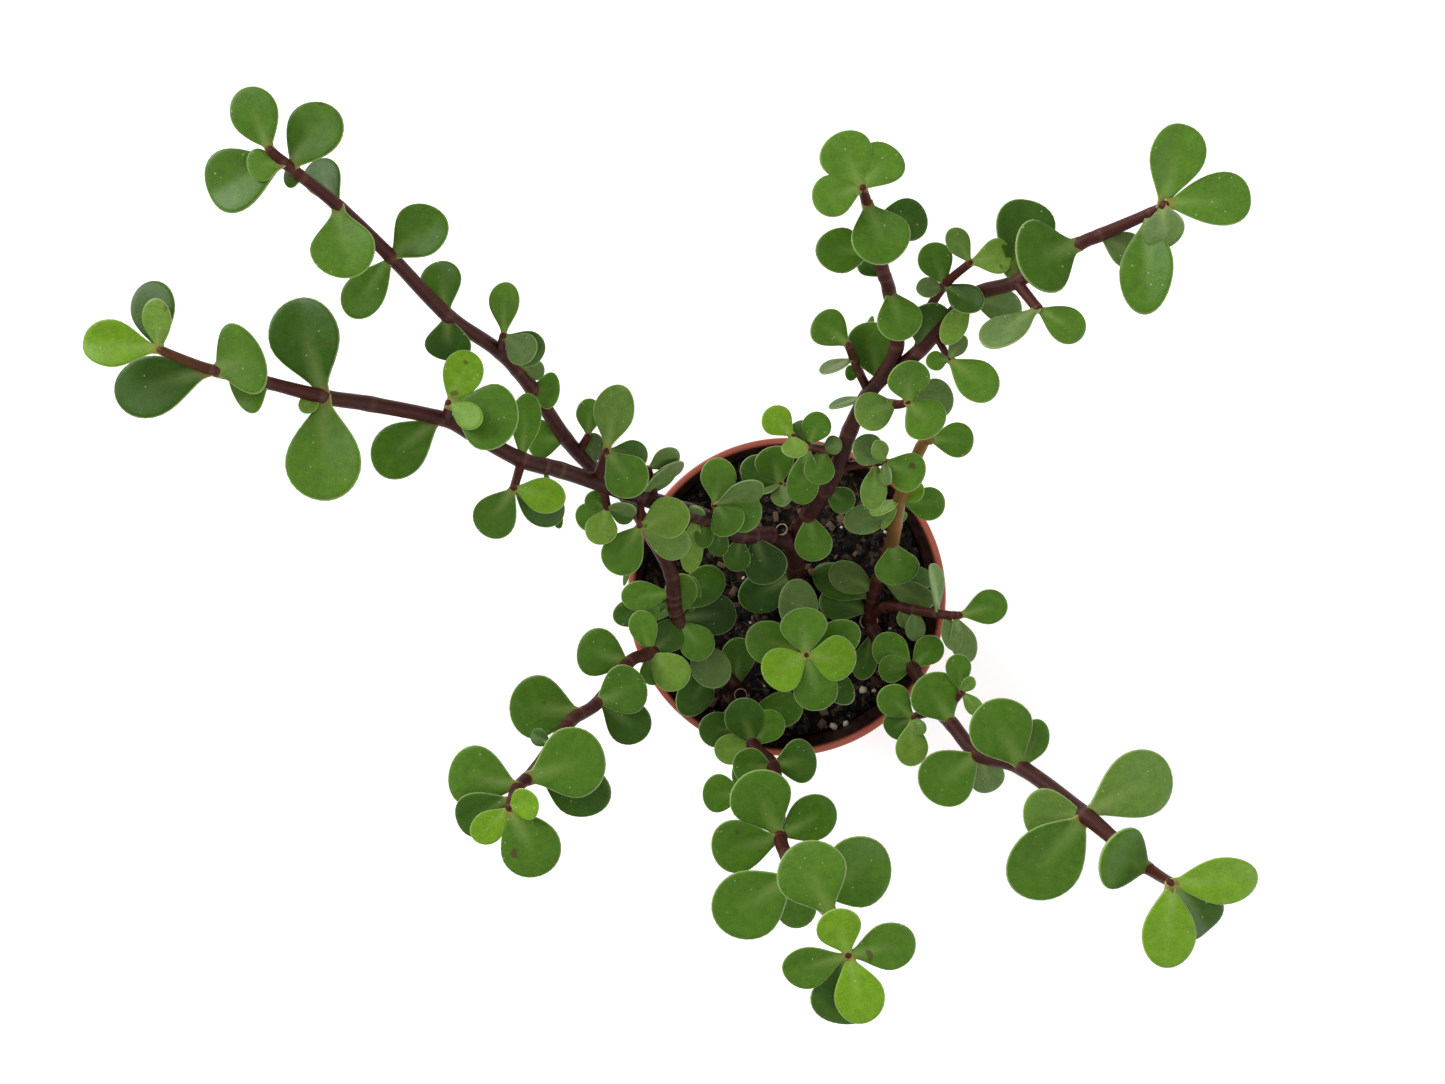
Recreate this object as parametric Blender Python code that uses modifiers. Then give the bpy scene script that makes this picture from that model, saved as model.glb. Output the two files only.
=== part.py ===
"""Elephant bush: four rooted cuttings with fleshy leaves, in a plastic nursery pot.

The origin is at the middle of the pot's underside. +Z is up, and the long left stems reach towards -X.
"""

import math
import random
from collections import namedtuple

import bmesh
import bpy
from mathutils import Matrix, Vector, noise

MM = 0.001
FIT_GAP = 0.3 * MM
MERGE_DISTANCE = 0.01 * MM

# Pot: a thin tapered wall with a thickened rim band outside.
POT_HEIGHT = 92 * MM
RIM_RADIUS = 52.5 * MM
RIM_INNER_RADIUS = 50.4 * MM
RIM_ROUNDING = 0.7 * MM
BAND_HEIGHT = 12 * MM
BAND_FOOT_RADIUS = 51.9 * MM
BASE_RADIUS = 38 * MM
BASE_CORNER = 2 * MM
WALL = 1.2 * MM
FLOOR = 1.6 * MM
POT_SIDES = 32
POT_COLOUR = (0.33, 0.075, 0.045)
DRAIN_HOLES = 6
DRAIN_HOLE_RADIUS = 4 * MM
DRAIN_CIRCLE_RADIUS = 27 * MM
DRAIN_HOLE_SIDES = 8
DRAIN_CUT_DEPTH = 10 * MM

# Soil: a plug of peat mix whose lumpy top lies below the rim.
SOIL_DEPTH_BELOW_RIM = 12 * MM
SOIL_LUMP = 1.1 * MM
SOIL_LUMP_SPACING = 7 * MM
SOIL_SIDES = 24
SOIL_RINGS = 4
STEM_HOLE_SIDES = 8
STEM_HOLE_BELOW_STEM = 1 * MM
SOIL_COLOUR = (0.012, 0.008, 0.006)

# Stems are tapered tubes, and the thick ones have more sides.
THICK_STEM = 5.3 * MM

# A leaf is a fleshy blade with a wedge at its base, widest past its middle. Its outline is a polygon whose
# corners lie at these shares of its length and a little outside the true curve, so that its area is right.
LEAF_SIDES = 9
LEAF_STATIONS = (1.0, 0.89, 0.6, 0.24, 0.0)
LEAF_WIDEST = 0.64
LEAF_NECK = 0.2
LEAF_NECK_END = 0.1
LEAF_CENTRE = 0.58
LEAF_CORNERS_OUT = 1.05
LEAF_EDGE = 0.8 * MM
LEAF_THICKNESS = 0.14
LEAF_THINNEST = 1.2 * MM
LEAF_THICKEST = 2.2 * MM
LEAF_CUP = 0.05
LEAF_BEND = 0.04
LEAF_SINK = 0.5 * MM
LEAF_SEED = 7
LEAF_COLOUR = (0.06, 0.16, 0.02)

# A shoot's path lists its nodes from its root outwards: x, y, height above the rim and thickness, in mm.
# Its leaves list where each grows, counted in nodes, then its heading (0 is +X, 90 is +Y), its rise above
# the horizontal and its roll in degrees, with its length and width in mm:
# (node, heading, rise, length, width, roll).
Shoot = namedtuple("Shoot", "path leaves")

BACK_CUTTING = (
    # trunk
    Shoot(
        ((3.5, 6.9, -28, 6.5), (3.5, 6.9, -9, 6.2), (2.8, 11, 0, 5.8), (2, 17, 8, 5.6)),
        ((1.1, -150, 0, 18, 13, 0), (1, -92, 5, 14, 13, 0)),
    ),
    # cut stub in the fork
    Shoot(((2, 17, 7, 4.6), (-0.6, 19.8, 12, 4.3), (-2.5, 21.9, 16, 3.8)), ()),
    # long stem to the left
    Shoot(
        (
            (2, 17, 8, 5.4), (-6.3, 20.3, 16, 5.2), (-15.8, 20.3, 24, 5.2), (-27.9, 25.9, 33, 5.2),
            (-39.4, 29.4, 42, 5), (-50.2, 32.8, 50, 4.8), (-65.4, 37.7, 62, 4.5), (-74.3, 39.8, 70, 4.3),
            (-86, 46.3, 79, 4), (-92.1, 49.2, 85, 3.8), (-106.5, 51.5, 95, 3.8), (-114.8, 52.2, 102, 3.6),
            (-124.9, 54.4, 110, 2.9), (-134.4, 56.2, 117, 2.5), (-143.3, 59.8, 122, 2),
        ),
        (
            (11, 105, 5, 24, 16.5, 0), (11, -85, 5, 25, 17.5, 0), (11.1, -165, 20, 6, 4.2, 0),
            (9, -128, 0, 20, 14, 0), (12, 112, 12, 16, 15.5, 0), (12, -150, -20, 9.5, 11, 0),
            (13, -167, 0, 22, 14.4, 0), (14, 174, 5, 17, 10.4, 0), (14, 90, 15, 11.5, 6.2, 0),
            (14, 107, -5, 17.5, 10.8, 0), (7, 82, 5, 17.5, 10.6, 0), (4.5, 43, 10, 14, 9, 65),
            (3.3, 165, 15, 11, 8, 70), (3.1, -94, -20, 17, 7, 0), (1.6, -56, 0, 16.5, 14, 0),
            (2.5, -97, -15, 10, 6.5, 0),
        ),
    ),
    Shoot(
        ((-56.2, 35.4, 55, 3), (-52.7, 42.9, 62, 2.6)),
        ((1, 80, 5, 18.5, 11.7, 0), (1, -52, 5, 15.5, 12.5, 0), (1, -8, -15, 12, 8.2, 0)),
    ),
    Shoot(
        ((-54.8, 34.3, 53.6, 2.6), (-54, 27.8, 48, 2.2)),
        (
            (1, 151, 10, 7.5, 6.3, 0), (1, -153, 0, 10.2, 8.6, 0), (1, -105, 10, 11.5, 9.4, 0),
            (1, 0, 25, 9.5, 8, 60), (1, -21, -10, 8.5, 6, 0),
        ),
    ),
    Shoot(
        ((-44.8, 31, 46, 2.6), (-44.7, 22.7, 47, 2.3)),
        ((1, -122, 0, 16.2, 12.1, 0), (1, 17, 5, 14.5, 10.9, 0), (1, -46, -15, 11.7, 10, 0)),
    ),
    Shoot(
        ((-74.3, 39.8, 70, 2.6), (-75.7, 32.2, 74, 2.2)),
        ((1, -123, 0, 15.3, 11.5, 0), (1, -19, 5, 13.6, 9.1, 0), (1, -35, -25, 16, 10.5, 0)),
    ),
    Shoot(
        ((-91, 48.7, 84, 2.6), (-88.4, 52.4, 90, 2.3)),
        (
            (1, 65, 12, 14, 9.5, 0), (1, -21, 30, 11.5, 6.8, 0), (1, -4, 5, 17.5, 16.5, 0),
        ),
    ),
    Shoot(
        ((-40.5, 29.8, 43, 2.4), (-42.3, 39.1, 49, 2)),
        ((1, 33, 8, 11.5, 8, 40), (0.7, 22, 3, 11, 8, 66)),
    ),
    Shoot(
        ((-23, 23.6, 29.5, 2.6), (-23.4, 29.1, 36, 2.3)),
        (
            (1, 83, 5, 14.5, 10.8, 0), (1, -53, 15, 11.3, 10.8, 0), (1, -23, 0, 13, 11.3, 0),
            (1, 3, 20, 10.5, 8, 45),
        ),
    ),
    # low shoot between the two stems
    Shoot(
        ((6.5, 28.5, 22, 2.6), (1, 33, 28, 2.4), (-4.1, 35.4, 34, 2.2)),
        (
            (2, 105, 10, 12, 10.7, 0), (2, 169, 5, 12.3, 8, 0), (2, -155, 15, 8, 7, 60),
            (2, -85, 30, 8.5, 6.5, 0),
        ),
    ),
    # stem to the back, up to its fork
    Shoot(
        (
            (2, 17, 8, 5.4), (5.4, 26.5, 20, 5.4), (9.7, 33.8, 30, 5.3), (12.6, 40.6, 40, 5),
            (14.7, 49.6, 52, 4.6), (17.6, 57.1, 64, 4.3), (20.2, 60.7, 72, 4),
        ),
        (
            (1.05, -88, 0, 15.5, 11.2, 0), (2, -8, 0, 10.5, 7.5, 0),
            (6, 103, 5, 14.5, 12.8, 0), (5, -163, 0, 11, 7, 65),
        ),
    ),
    Shoot(
        ((12.2, 44.1, 44, 2.8), (3, 45.3, 50, 2.4), (-1.5, 47.7, 54, 2.1)),
        (
            (2, 137, 5, 11, 9, 0), (2, -85, 40, 9, 7.6, 0), (1, 73, 10, 9.6, 8.4, 0),
            (0.55, 19, 30, 7, 5.6, 0), (0.5, -86, 0, 10, 8.3, 0), (1, -97, -30, 17, 9, 0),
        ),
    ),
    Shoot(
        ((13.5, 40, 40, 2.8), (20.6, 40.8, 46, 2.5), (24.6, 40.8, 50, 2.2)),
        (
            (2, 155, 12, 13, 10.8, 0), (2, 165, 45, 6, 5, 0), (1.4, -97, 0, 12.3, 6.3, 0),
            (2, -16, 5, 12.5, 10.5, 0), (2, -80, 20, 7.5, 6, 60),
        ),
    ),
    Shoot(
        ((17.9, 58.9, 66, 2.6), (14.5, 63.4, 72, 2.3), (10.9, 68.5, 80, 2)),
        ((2, 140, 0, 11.5, 10, 0), (1.4, -153, 10, 10.4, 8, 60)),
    ),
    Shoot(
        ((17.6, 57.1, 64, 2.6), (24.1, 54.2, 73, 2.4), (26.6, 54.2, 78, 2.1)),
        (
            (1, -161, 10, 12, 10.4, 0), (2, 97, 25, 12.5, 11, 0), (2, 6, -3, 12.5, 10.5, 0),
            (2, -48, 5, 11.7, 11.8, 0),
        ),
    ),
    # left arm of the fork
    Shoot(
        (
            (20.2, 60.7, 72, 4), (22.8, 67.8, 84, 3.6), (18.9, 78.8, 96, 3.3), (16.4, 82.6, 102, 3.1),
            (11.2, 94, 114, 2.4), (9.5, 95.9, 119, 2.1),
        ),
        (
            (2, -73, 5, 13.5, 11.1, 0), (4, -71, 10, 15, 14, 0), (3.7, 4, -8, 14, 10, 0),
            (3.3, -174, 0, 14, 10.7, 0), (2.7, 141, -10, 8, 6, 0), (5, 111, 5, 14, 11, 0),
            (5, 38, 5, 12.5, 9.7, 0), (5, -163, 5, 12, 9.5, 0),
        ),
    ),
    # right arm of the fork
    Shoot(
        (
            (20.2, 60.7, 72, 4), (28.1, 66, 84, 3.7), (38, 76.5, 98, 3.6), (46.6, 78.4, 106, 3.4),
            (58.6, 84.8, 114, 3.1), (62.8, 86.4, 116, 3), (72, 89.8, 121, 2.4), (74.1, 90.7, 124, 2),
        ),
        (
            (1.05, 50, -5, 14, 12.8, 0), (1.6, -70, 25, 9, 6.7, 0), (3, 81, 0, 20, 14, 0),
            (4, -158, 15, 16.5, 17.2, 0), (3.1, -166, 0, 8.5, 5, 0), (5, -27, -8, 13, 8, 0),
            (6, -88, 0, 22.5, 11.5, 30), (6.8, -92, 15, 12, 9, 50), (6.5, 79, 12, 17.9, 12, 0),
            (7, 11, -2, 19.3, 12.8, 0), (2, -14, -12, 14, 8.5, 0),
        ),
    ),
    Shoot(
        ((28.1, 66, 84, 2.6), (29, 74, 91, 2.4), (32, 79.6, 98, 2.2), (36.2, 82.8, 106, 1.9)),
        (
            (2, 115, 5, 11, 8.6, 0), (3, 125, 15, 10, 6, 0), (3, 11, 5, 10.2, 8.3, 0),
            (1.9, 170, 15, 8.5, 5.6, 0), (2, -40, 5, 11, 7, 0),
        ),
    ),
    Shoot(
        ((47, 78, 106.5, 2.6), (50.2, 70.8, 112, 2.3)),
        ((1, -141, 10, 15, 10, 45), (1, -28, 5, 11.5, 8.1, 0)),
    ),
    Shoot(
        ((31.5, 69.5, 89, 2), (33.8, 62.5, 94, 1.6)),
        ((1, -44, 5, 13.6, 10.2, 0), (1, 59, 35, 7.5, 4.4, 0), (1, -169, 20, 7, 4.9, 0)),
    ),
)

LEFT_CUTTING = (
    Shoot(((-15.5, -32.5, -28, 6.5), (-15.5, -32.5, -10, 6.2), (-15.2, -32.7, -4, 4.2)), ()),
    # long stem to the back left
    Shoot(
        (
            (-15.5, -32.5, -9, 5.2), (-24, -22, 0, 5), (-32, -13.5, 8, 4.8), (-36, -4, 14, 4.6),
            (-37, 8, 22, 4.5), (-42, 19, 30, 4.4), (-50, 32, 38, 4.3), (-59, 40, 46, 4.2),
            (-65, 47, 54, 4.1), (-72, 59, 68, 4), (-78.5, 67, 78, 3.8), (-89, 74, 90, 3.6),
            (-99, 85, 102, 3.3), (-108, 94, 112, 3), (-117, 101, 121, 2.4), (-119, 103, 123, 2),
        ),
        (
            (0.9, -128, 12, 20, 11.5, 0), (0.2, 76, 5, 15, 12, 0), (2.6, 85, 5, 14.5, 10.5, 0),
            (2.7, -69, 10, 14.5, 11.5, 0), (2, -45, 5, 14.5, 13, 0), (2.8, 0, -10, 18, 13.5, 0),
            (3.1, 38, -12, 20, 12, 0), (3.9, -60, 30, 5.5, 5, 0), (3.5, -175, 0, 17.5, 9, 0),
            (3.3, -158, -8, 20, 9, 0), (3, -175, 20, 8, 6, 0), (7, 94, 40, 12, 8, 0),
            (8, 158, 5, 13.5, 11.2, 0), (9, -26, 0, 11, 10.1, 0), (9.5, 31, 10, 8, 8, 60),
            (11, 118, -5, 13.5, 12.3, 0),
            (11, -86, -15, 12.5, 11.6, 0), (12, -134, -4, 17, 11.2, 0), (12, 38, 3, 16.5, 12.8, 0),
            (13, -81, 0, 17, 14.9, 0), (13, 127, -20, 15.5, 9, 0), (13.8, 48, 3, 17.5, 12.6, 0),
            (14.7, -175, 12, 9.5, 7.4, 0), (14, -157, -2, 18.5, 14.2, 0), (15, 112, 10, 15, 11, 0),
        ),
    ),
    Shoot(
        ((-78.5, 67, 78, 2.6), (-76.3, 70, 84, 2.2)),
        ((1, 87, 5, 14, 7.8, 0), (1, -36, 10, 10.5, 8.6, 0), (1, -28, -20, 11.5, 9.5, 0)),
    ),
    Shoot(((-62, 43.5, 50, 2.6), (-58.8, 47.7, 54, 2.1)), ((1, 86, 5, 11, 7.5, 0),)),
    # stem to the front left
    Shoot(
        (
            (-31.7, -13.5, 8, 4), (-39.5, -15.3, 12, 4), (-45.4, -17.2, 18, 4), (-50.2, -19.1, 24, 3.9),
            (-58.1, -29.3, 38, 3.8), (-65, -33.6, 46, 3.7), (-72.6, -44.4, 60, 3.6),
            (-75.8, -47.3, 68, 3.3), (-76.7, -51.4, 74, 2.6),
        ),
        (
            (1.7, 105, 10, 14.5, 9.1, 0), (1.7, 42, -15, 13.5, 10.6, 0), (1.8, -39, 5, 15.8, 11.9, 0),
            (1.8, -107, 0, 10.3, 7.8, 0), (3, 160, 0, 17, 15.2, 0),
            (4, 40, 0, 15.5, 15, 0), (3.9, -33, -8, 20, 14, 0), (4.6, 170, 0, 21.5, 18.5, 0),
            (5.5, 150, -20, 8, 5, 0), (6, 20, 0, 21, 18.8, 0), (6, -38, -5, 21, 15.2, 0),
            (7, 164, 0, 19.5, 16.5, 0), (7.5, -156, -6, 17, 12, 0), (8, 37, 30, 9.5, 8.9, 0),
            (8, -139, 5, 12.8, 8.6, 0), (8, -61, 0, 20, 16, 0),
        ),
    ),
    # stem over the front rim
    Shoot(
        (
            (-15.5, -32.5, -9, 4.8), (-11.4, -46.9, 8, 4.5), (-5.8, -51.2, 20, 4.3),
            (-5, -57.4, 40, 4.1), (-5.2, -63.8, 55, 3.9), (-3.9, -67.1, 62, 3.7),
            (-0.9, -71.5, 74, 3.4), (6.5, -75.1, 90, 3), (8.6, -79.9, 100, 2.3),
        ),
        (
            (0.1, -80, -5, 13, 12, 0), (0.5, 15, 0, 14, 11, 0), (0.7, -172, 0, 15, 11, 0),
            (1, -162, 0, 12.5, 9, 0), (1, 50, 5, 13.8, 10.3, 0), (2, 17, 0, 14.5, 13.7, 0),
            (2.1, 161, 0, 13.8, 12.2, 0), (4, 106, 5, 19.5, 17.6, 0), (4, 34, 0, 18.5, 15, 0),
            (4.1, -171, 0, 20, 15, 0), (4.8, -48, 6, 20.5, 20.5, 0), (5.7, -148, -3, 25, 18.5, 0),
            (6.2, 22, -8, 24, 18.5, 0), (8, 111, 15, 12.8, 11.4, 0), (8, 14, 0, 17, 11.4, 0),
            (8, -166, 0, 16.5, 10, 0), (8, -90, -10, 19, 18, 0), (8, -81, 3, 17, 11.9, 0),
        ),
    ),
    Shoot(((-5.1, -55.5, 34, 2.6), (-14.6, -56.4, 38, 2)), ((1, 158, 0, 12.5, 12.6, 0),)),
)

RIGHT_CUTTING = (
    Shoot(((28, -8.5, -28, 6.4), (28, -8.5, -8, 6)), ()),
    # olive-brown stem to the back
    Shoot(
        (
            (28, -8.5, -9, 4.6), (28.7, 2.4, 2, 4.2), (32.1, 18.4, 16, 4.3), (32, 30.7, 32, 4.1),
            (35.4, 45.2, 48, 3.4), (37.2, 46.8, 52, 2.6),
        ),
        (
            (0.4, 164, 0, 18, 12, 0), (1, 149, 5, 15, 9.8, 0), (1.3, -20, 5, 16, 9, 30),
            (2, -80, 0, 14.5, 14.2, 0), (2.4, -110, 10, 9, 5, 0), (2.7, -158, 0, 16, 9, 0),
            (3, -22, 3, 13.8, 10.5, 0), (3, -153, 15, 11, 8, 60), (3, 60, 30, 4, 3.5, 0),
            (5, 0, 0, 13, 10, 0),
        ),
    ),
    # long stem to the front right
    Shoot(
        (
            (28, -8.5, -9, 4.8), (33.7, -20.5, 2, 4.6), (39.5, -22.2, 10, 4.6), (42.9, -30.7, 22, 4.5),
            (47.2, -36.2, 34, 4.4), (52.6, -43.1, 44, 4.4), (61.5, -44.3, 58, 4.3), (72.8, -52.7, 76, 4.4),
            (77, -56.5, 86, 3.6), (81.8, -60.8, 95, 3), (83.4, -61.4, 104, 2.4),
        ),
        (
            (0.3, -110, 5, 13, 7, 0), (2, 48, 5, 13.3, 9.6, 0), (2, 146, 0, 14.2, 11.5, 0),
            (2, 180, 12, 12, 9, 0), (4, 120, 0, 17.5, 15.5, 0), (5, -144, 0, 20, 17, 0),
            (5, -78, -20, 13.2, 10.5, 0), (6, 119, 0, 21.5, 18.2, 0), (6, 72, 10, 10.5, 8.3, 0),
            (7, 165, -15, 15.5, 13, 0), (7, -134, 0, 26, 20, 0), (7, 31, 0, 26, 17.5, 0),
            (9, 146, 20, 16, 17, 0), (10, 3, 0, 21.6, 11.2, 0), (10, -93, 0, 20.3, 12.9, 0),
            (10, -50, -10, 17, 13, 0),
        ),
    ),
    Shoot(
        ((44.5, -33, 27, 2.8), (35.9, -34.4, 32, 2.3)),
        (
            (1, 139, 5, 13.5, 10.2, 0), (1, -149, -15, 10, 9, 0), (1, -93, 3, 15.2, 9.9, 0),
            (1, -60, 25, 6.5, 4.2, 0),
        ),
    ),
    Shoot(
        ((45.5, -33.8, 30, 2.6), (49.7, -26.3, 36, 2.2)),
        ((1, 100, 5, 12, 7.7, 0), (1, 60, 25, 6.5, 4.1, 0), (1, -20, 0, 9, 5.3, 0)),
    ),
    # short stem to the right
    Shoot(
        (
            (28, -8.5, -9, 3.4), (32, -3, 2, 3.3), (40.4, -3.7, 10, 3.1), (48.4, -4.7, 18, 2.8),
            (52.2, -4.5, 22, 2.3),
        ),
        (
            (1.6, -95, 10, 6.8, 4.5, 0), (2, -90, 0, 10.5, 6.5, 0), (2.7, 90, 15, 15.5, 10, 60),
            (3, -75, 5, 12, 7, 0), (3.5, -88, -12, 15, 9, 0), (4, 17, 5, 16, 11.7, 0),
        ),
    ),
)

CENTRE_CUTTING = (
    Shoot(
        (
            (3.5, -15.5, -28, 5), (3.5, -15.5, -10, 4.6), (3.6, -15.6, -2, 4.2), (3.8, -15.8, 8, 3.8),
            (4, -16, 18, 3.3), (4, -16, 30, 2.6),
        ),
        (
            (5, 95, 3, 15, 14.2, 0), (5, -4, 3, 15, 13.9, 0), (5, -151, 3, 15, 13.6, 0),
            (5, -77, 0, 16.3, 13, 0), (4.3, 31, 5, 16, 12.5, 0), (4, 166, 0, 19, 14, 0),
            (3.7, -45, 0, 15.5, 9, 0),
        ),
    ),
)

CUTTINGS = {
    "cutting_back": BACK_CUTTING,
    "cutting_left": LEFT_CUTTING,
    "cutting_right": RIGHT_CUTTING,
    "cutting_centre": CENTRE_CUTTING,
}


def clear_scene():
    for old in list(bpy.data.objects):
        bpy.data.objects.remove(old, do_unlink=True)


def new_collection(name, parent):
    collection = bpy.data.collections.new(name)
    parent.children.link(collection)
    return collection


def material(name, colour, roughness):
    made = bpy.data.materials.new(name)
    made.use_nodes = True
    shader = made.node_tree.nodes["Principled BSDF"]
    shader.inputs["Base Color"].default_value = (*colour, 1)
    shader.inputs["Roughness"].default_value = roughness
    shader.inputs["Metallic"].default_value = 0
    return made


def cylinder(name, radius, depth, sides, centre, collection):
    mesh = bpy.data.meshes.new(name)
    shape = bmesh.new()
    bmesh.ops.create_cone(
        shape, cap_ends=True, segments=sides, radius1=radius, radius2=radius, depth=depth
    )
    shape.to_mesh(mesh)
    shape.free()
    made = bpy.data.objects.new(name, mesh)
    made.location = centre
    collection.objects.link(made)
    return made


def cut_with(target, cutters):
    for cutter in cutters.objects:
        cutter.hide_render = True
        cutter.display_type = "WIRE"
    cut = target.modifiers.new("cut", "BOOLEAN")
    cut.operation = "DIFFERENCE"
    cut.operand_type = "COLLECTION"
    cut.collection = cutters
    cut.solver = "EXACT"


def inner_radius(height):
    """Radius of the pot's straight tapered inner wall at this height."""
    share = (height - FLOOR) / (POT_HEIGHT - FLOOR)
    foot = BASE_RADIUS - WALL
    return foot + share * (RIM_INNER_RADIUS - foot)


def arc(centre, radius, start, end, steps):
    """Points on a turned profile's corner, in degrees from the outward direction."""
    angles = [math.radians(start + (end - start) * step / steps) for step in range(steps + 1)]
    return [(centre[0] + radius * math.cos(a), centre[1] + radius * math.sin(a)) for a in angles]


def pot_profile():
    """From the middle of the floor up the inside, over the rim and down the outside to the underside."""
    band_foot = POT_HEIGHT - BAND_HEIGHT
    outer_below_band = inner_radius(band_foot) + WALL
    inner_lip = (RIM_INNER_RADIUS + RIM_ROUNDING, POT_HEIGHT - RIM_ROUNDING)
    outer_lip = (RIM_RADIUS - RIM_ROUNDING, POT_HEIGHT - RIM_ROUNDING)
    base_corner = (BASE_RADIUS - BASE_CORNER, BASE_CORNER)
    return [
        (0, FLOOR),
        (inner_radius(FLOOR) - BASE_CORNER, FLOOR),
        (inner_radius(FLOOR + BASE_CORNER), FLOOR + BASE_CORNER),
        *arc(inner_lip, RIM_ROUNDING, 180, 90, 2),
        *arc(outer_lip, RIM_ROUNDING, 90, 0, 2),
        (BAND_FOOT_RADIUS, band_foot),
        (outer_below_band, band_foot),
        *arc(base_corner, BASE_CORNER, 0, -90, 3),
        (0, 0),
    ]


def build_pot(parts, cutters):
    mesh = bpy.data.meshes.new("pot")
    shape = bmesh.new()
    points = [shape.verts.new((radius, 0, height)) for radius, height in pot_profile()]
    for start, end in zip(points, points[1:]):
        shape.edges.new((start, end))
    shape.to_mesh(mesh)
    shape.free()
    pot = bpy.data.objects.new("pot", mesh)
    parts.objects.link(pot)
    turn = pot.modifiers.new("turn", "SCREW")
    turn.axis = "Z"
    turn.steps = turn.render_steps = POT_SIDES
    turn.use_merge_vertices = True
    turn.merge_threshold = MERGE_DISTANCE
    turn.use_smooth_shade = True
    for hole in range(DRAIN_HOLES):
        angle = math.tau * hole / DRAIN_HOLES
        centre = (DRAIN_CIRCLE_RADIUS * math.cos(angle), DRAIN_CIRCLE_RADIUS * math.sin(angle), 0)
        cylinder(f"drain_{hole}", DRAIN_HOLE_RADIUS, DRAIN_CUT_DEPTH, DRAIN_HOLE_SIDES, centre, cutters)
    cut_with(pot, cutters)
    mesh.materials.append(material("terracotta_coloured_plastic", POT_COLOUR, 0.45))


def soil_height(x, y):
    """Height of the lumpy top of the soil above the pot's underside."""
    spot = Vector((x, y, 0)) / SOIL_LUMP_SPACING
    return POT_HEIGHT - SOIL_DEPTH_BELOW_RIM + SOIL_LUMP * noise.noise(spot)


def build_soil(parts, cutters):
    """A tapered plug, its top inset in rings and raised into lumps, with a hole for each stem."""
    bottom = FLOOR + FIT_GAP
    top = POT_HEIGHT - SOIL_DEPTH_BELOW_RIM
    mesh = bpy.data.meshes.new("soil")
    shape = bmesh.new()
    bmesh.ops.create_cone(
        shape,
        cap_ends=True,
        segments=SOIL_SIDES,
        radius1=inner_radius(FLOOR) - BASE_CORNER - FIT_GAP,
        radius2=inner_radius(top - SOIL_LUMP) - FIT_GAP,
        depth=top - bottom,
        matrix=Matrix.Translation((0, 0, (top + bottom) / 2)),
    )
    lid = max(shape.faces, key=lambda face: face.calc_center_median().z)
    ring = inner_radius(top) / (SOIL_RINGS + 1)
    for _ in range(SOIL_RINGS):
        bmesh.ops.inset_region(shape, faces=[lid], thickness=ring, use_even_offset=True)
    bmesh.ops.poke(shape, faces=[lid])
    for point in shape.verts:
        if point.co.z > (top + bottom) / 2:
            point.co.z = soil_height(point.co.x, point.co.y)
    shape.to_mesh(mesh)
    shape.free()
    soil = bpy.data.objects.new("soil", mesh)
    parts.objects.link(soil)
    for name, shoots in CUTTINGS.items():
        x, y, height, thickness = shoots[0].path[0]
        foot = POT_HEIGHT + height * MM - STEM_HOLE_BELOW_STEM
        radius = thickness / 2 * MM + 2 * FIT_GAP
        centre = (x * MM, y * MM, (foot + POT_HEIGHT) / 2)
        cylinder(f"{name}_hole", radius, POT_HEIGHT - foot, STEM_HOLE_SIDES, centre, cutters)
    cut_with(soil, cutters)
    mesh.materials.append(material("peat_potting_mix", SOIL_COLOUR, 0.95))


def along(path, at):
    """The point and thickness at this count of nodes on the smooth curve through a shoot's path."""
    last = len(path) - 1
    start = min(int(at), last - 1)
    share = at - start
    near = [Vector(path[min(max(start + step, 0), last)]) for step in (-1, 0, 1, 2)]
    before, here, ahead, beyond = near
    bend = (2 * before - 5 * here + 4 * ahead - beyond) * share**2
    twist = (3 * here - before - 3 * ahead + beyond) * share**3
    x, y, height, thickness = here + ((ahead - before) * share + bend + twist) / 2
    return Vector((x * MM, y * MM, POT_HEIGHT + height * MM)), thickness * MM


def stem(name, path, collection):
    """A tapered tube along a shoot's path, as a closed mesh."""
    curve = bpy.data.curves.new(name, "CURVE")
    curve.dimensions = "3D"
    curve.bevel_depth = 1
    curve.bevel_resolution = 2 if path[0][3] * MM >= THICK_STEM else 1
    curve.use_fill_caps = True
    line = curve.splines.new("POLY")
    line.points.add(len(path) - 1)
    for node, point in enumerate(line.points):
        place, thickness = along(path, node)
        point.co = (*place, 1)
        point.radius = thickness / 2
    guide = bpy.data.objects.new(name, curve)
    collection.objects.link(guide)
    graph = bpy.context.evaluated_depsgraph_get()
    mesh = bpy.data.meshes.new_from_object(guide.evaluated_get(graph))
    shape = bmesh.new()
    shape.from_mesh(mesh)
    bmesh.ops.remove_doubles(shape, verts=shape.verts, dist=MERGE_DISTANCE)
    bmesh.ops.recalc_face_normals(shape, faces=shape.faces)
    shape.to_mesh(mesh)
    shape.free()
    made = bpy.data.objects.new(name, mesh)
    made.matrix_world = guide.matrix_world
    collection.objects.link(made)
    bpy.data.objects.remove(guide)
    return made


def half_width(station):
    """Half of a leaf's width at this share of its length, as a share of its full width."""
    if station > LEAF_WIDEST:
        return 0.5 * math.sqrt(1 - ((station - LEAF_WIDEST) / (1 - LEAF_WIDEST)) ** 2)
    share = max(0, (station - LEAF_NECK_END) / (LEAF_WIDEST - LEAF_NECK_END))
    return 0.5 * (LEAF_NECK + (1 - LEAF_NECK) * math.sin(share * math.pi / 2))


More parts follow.
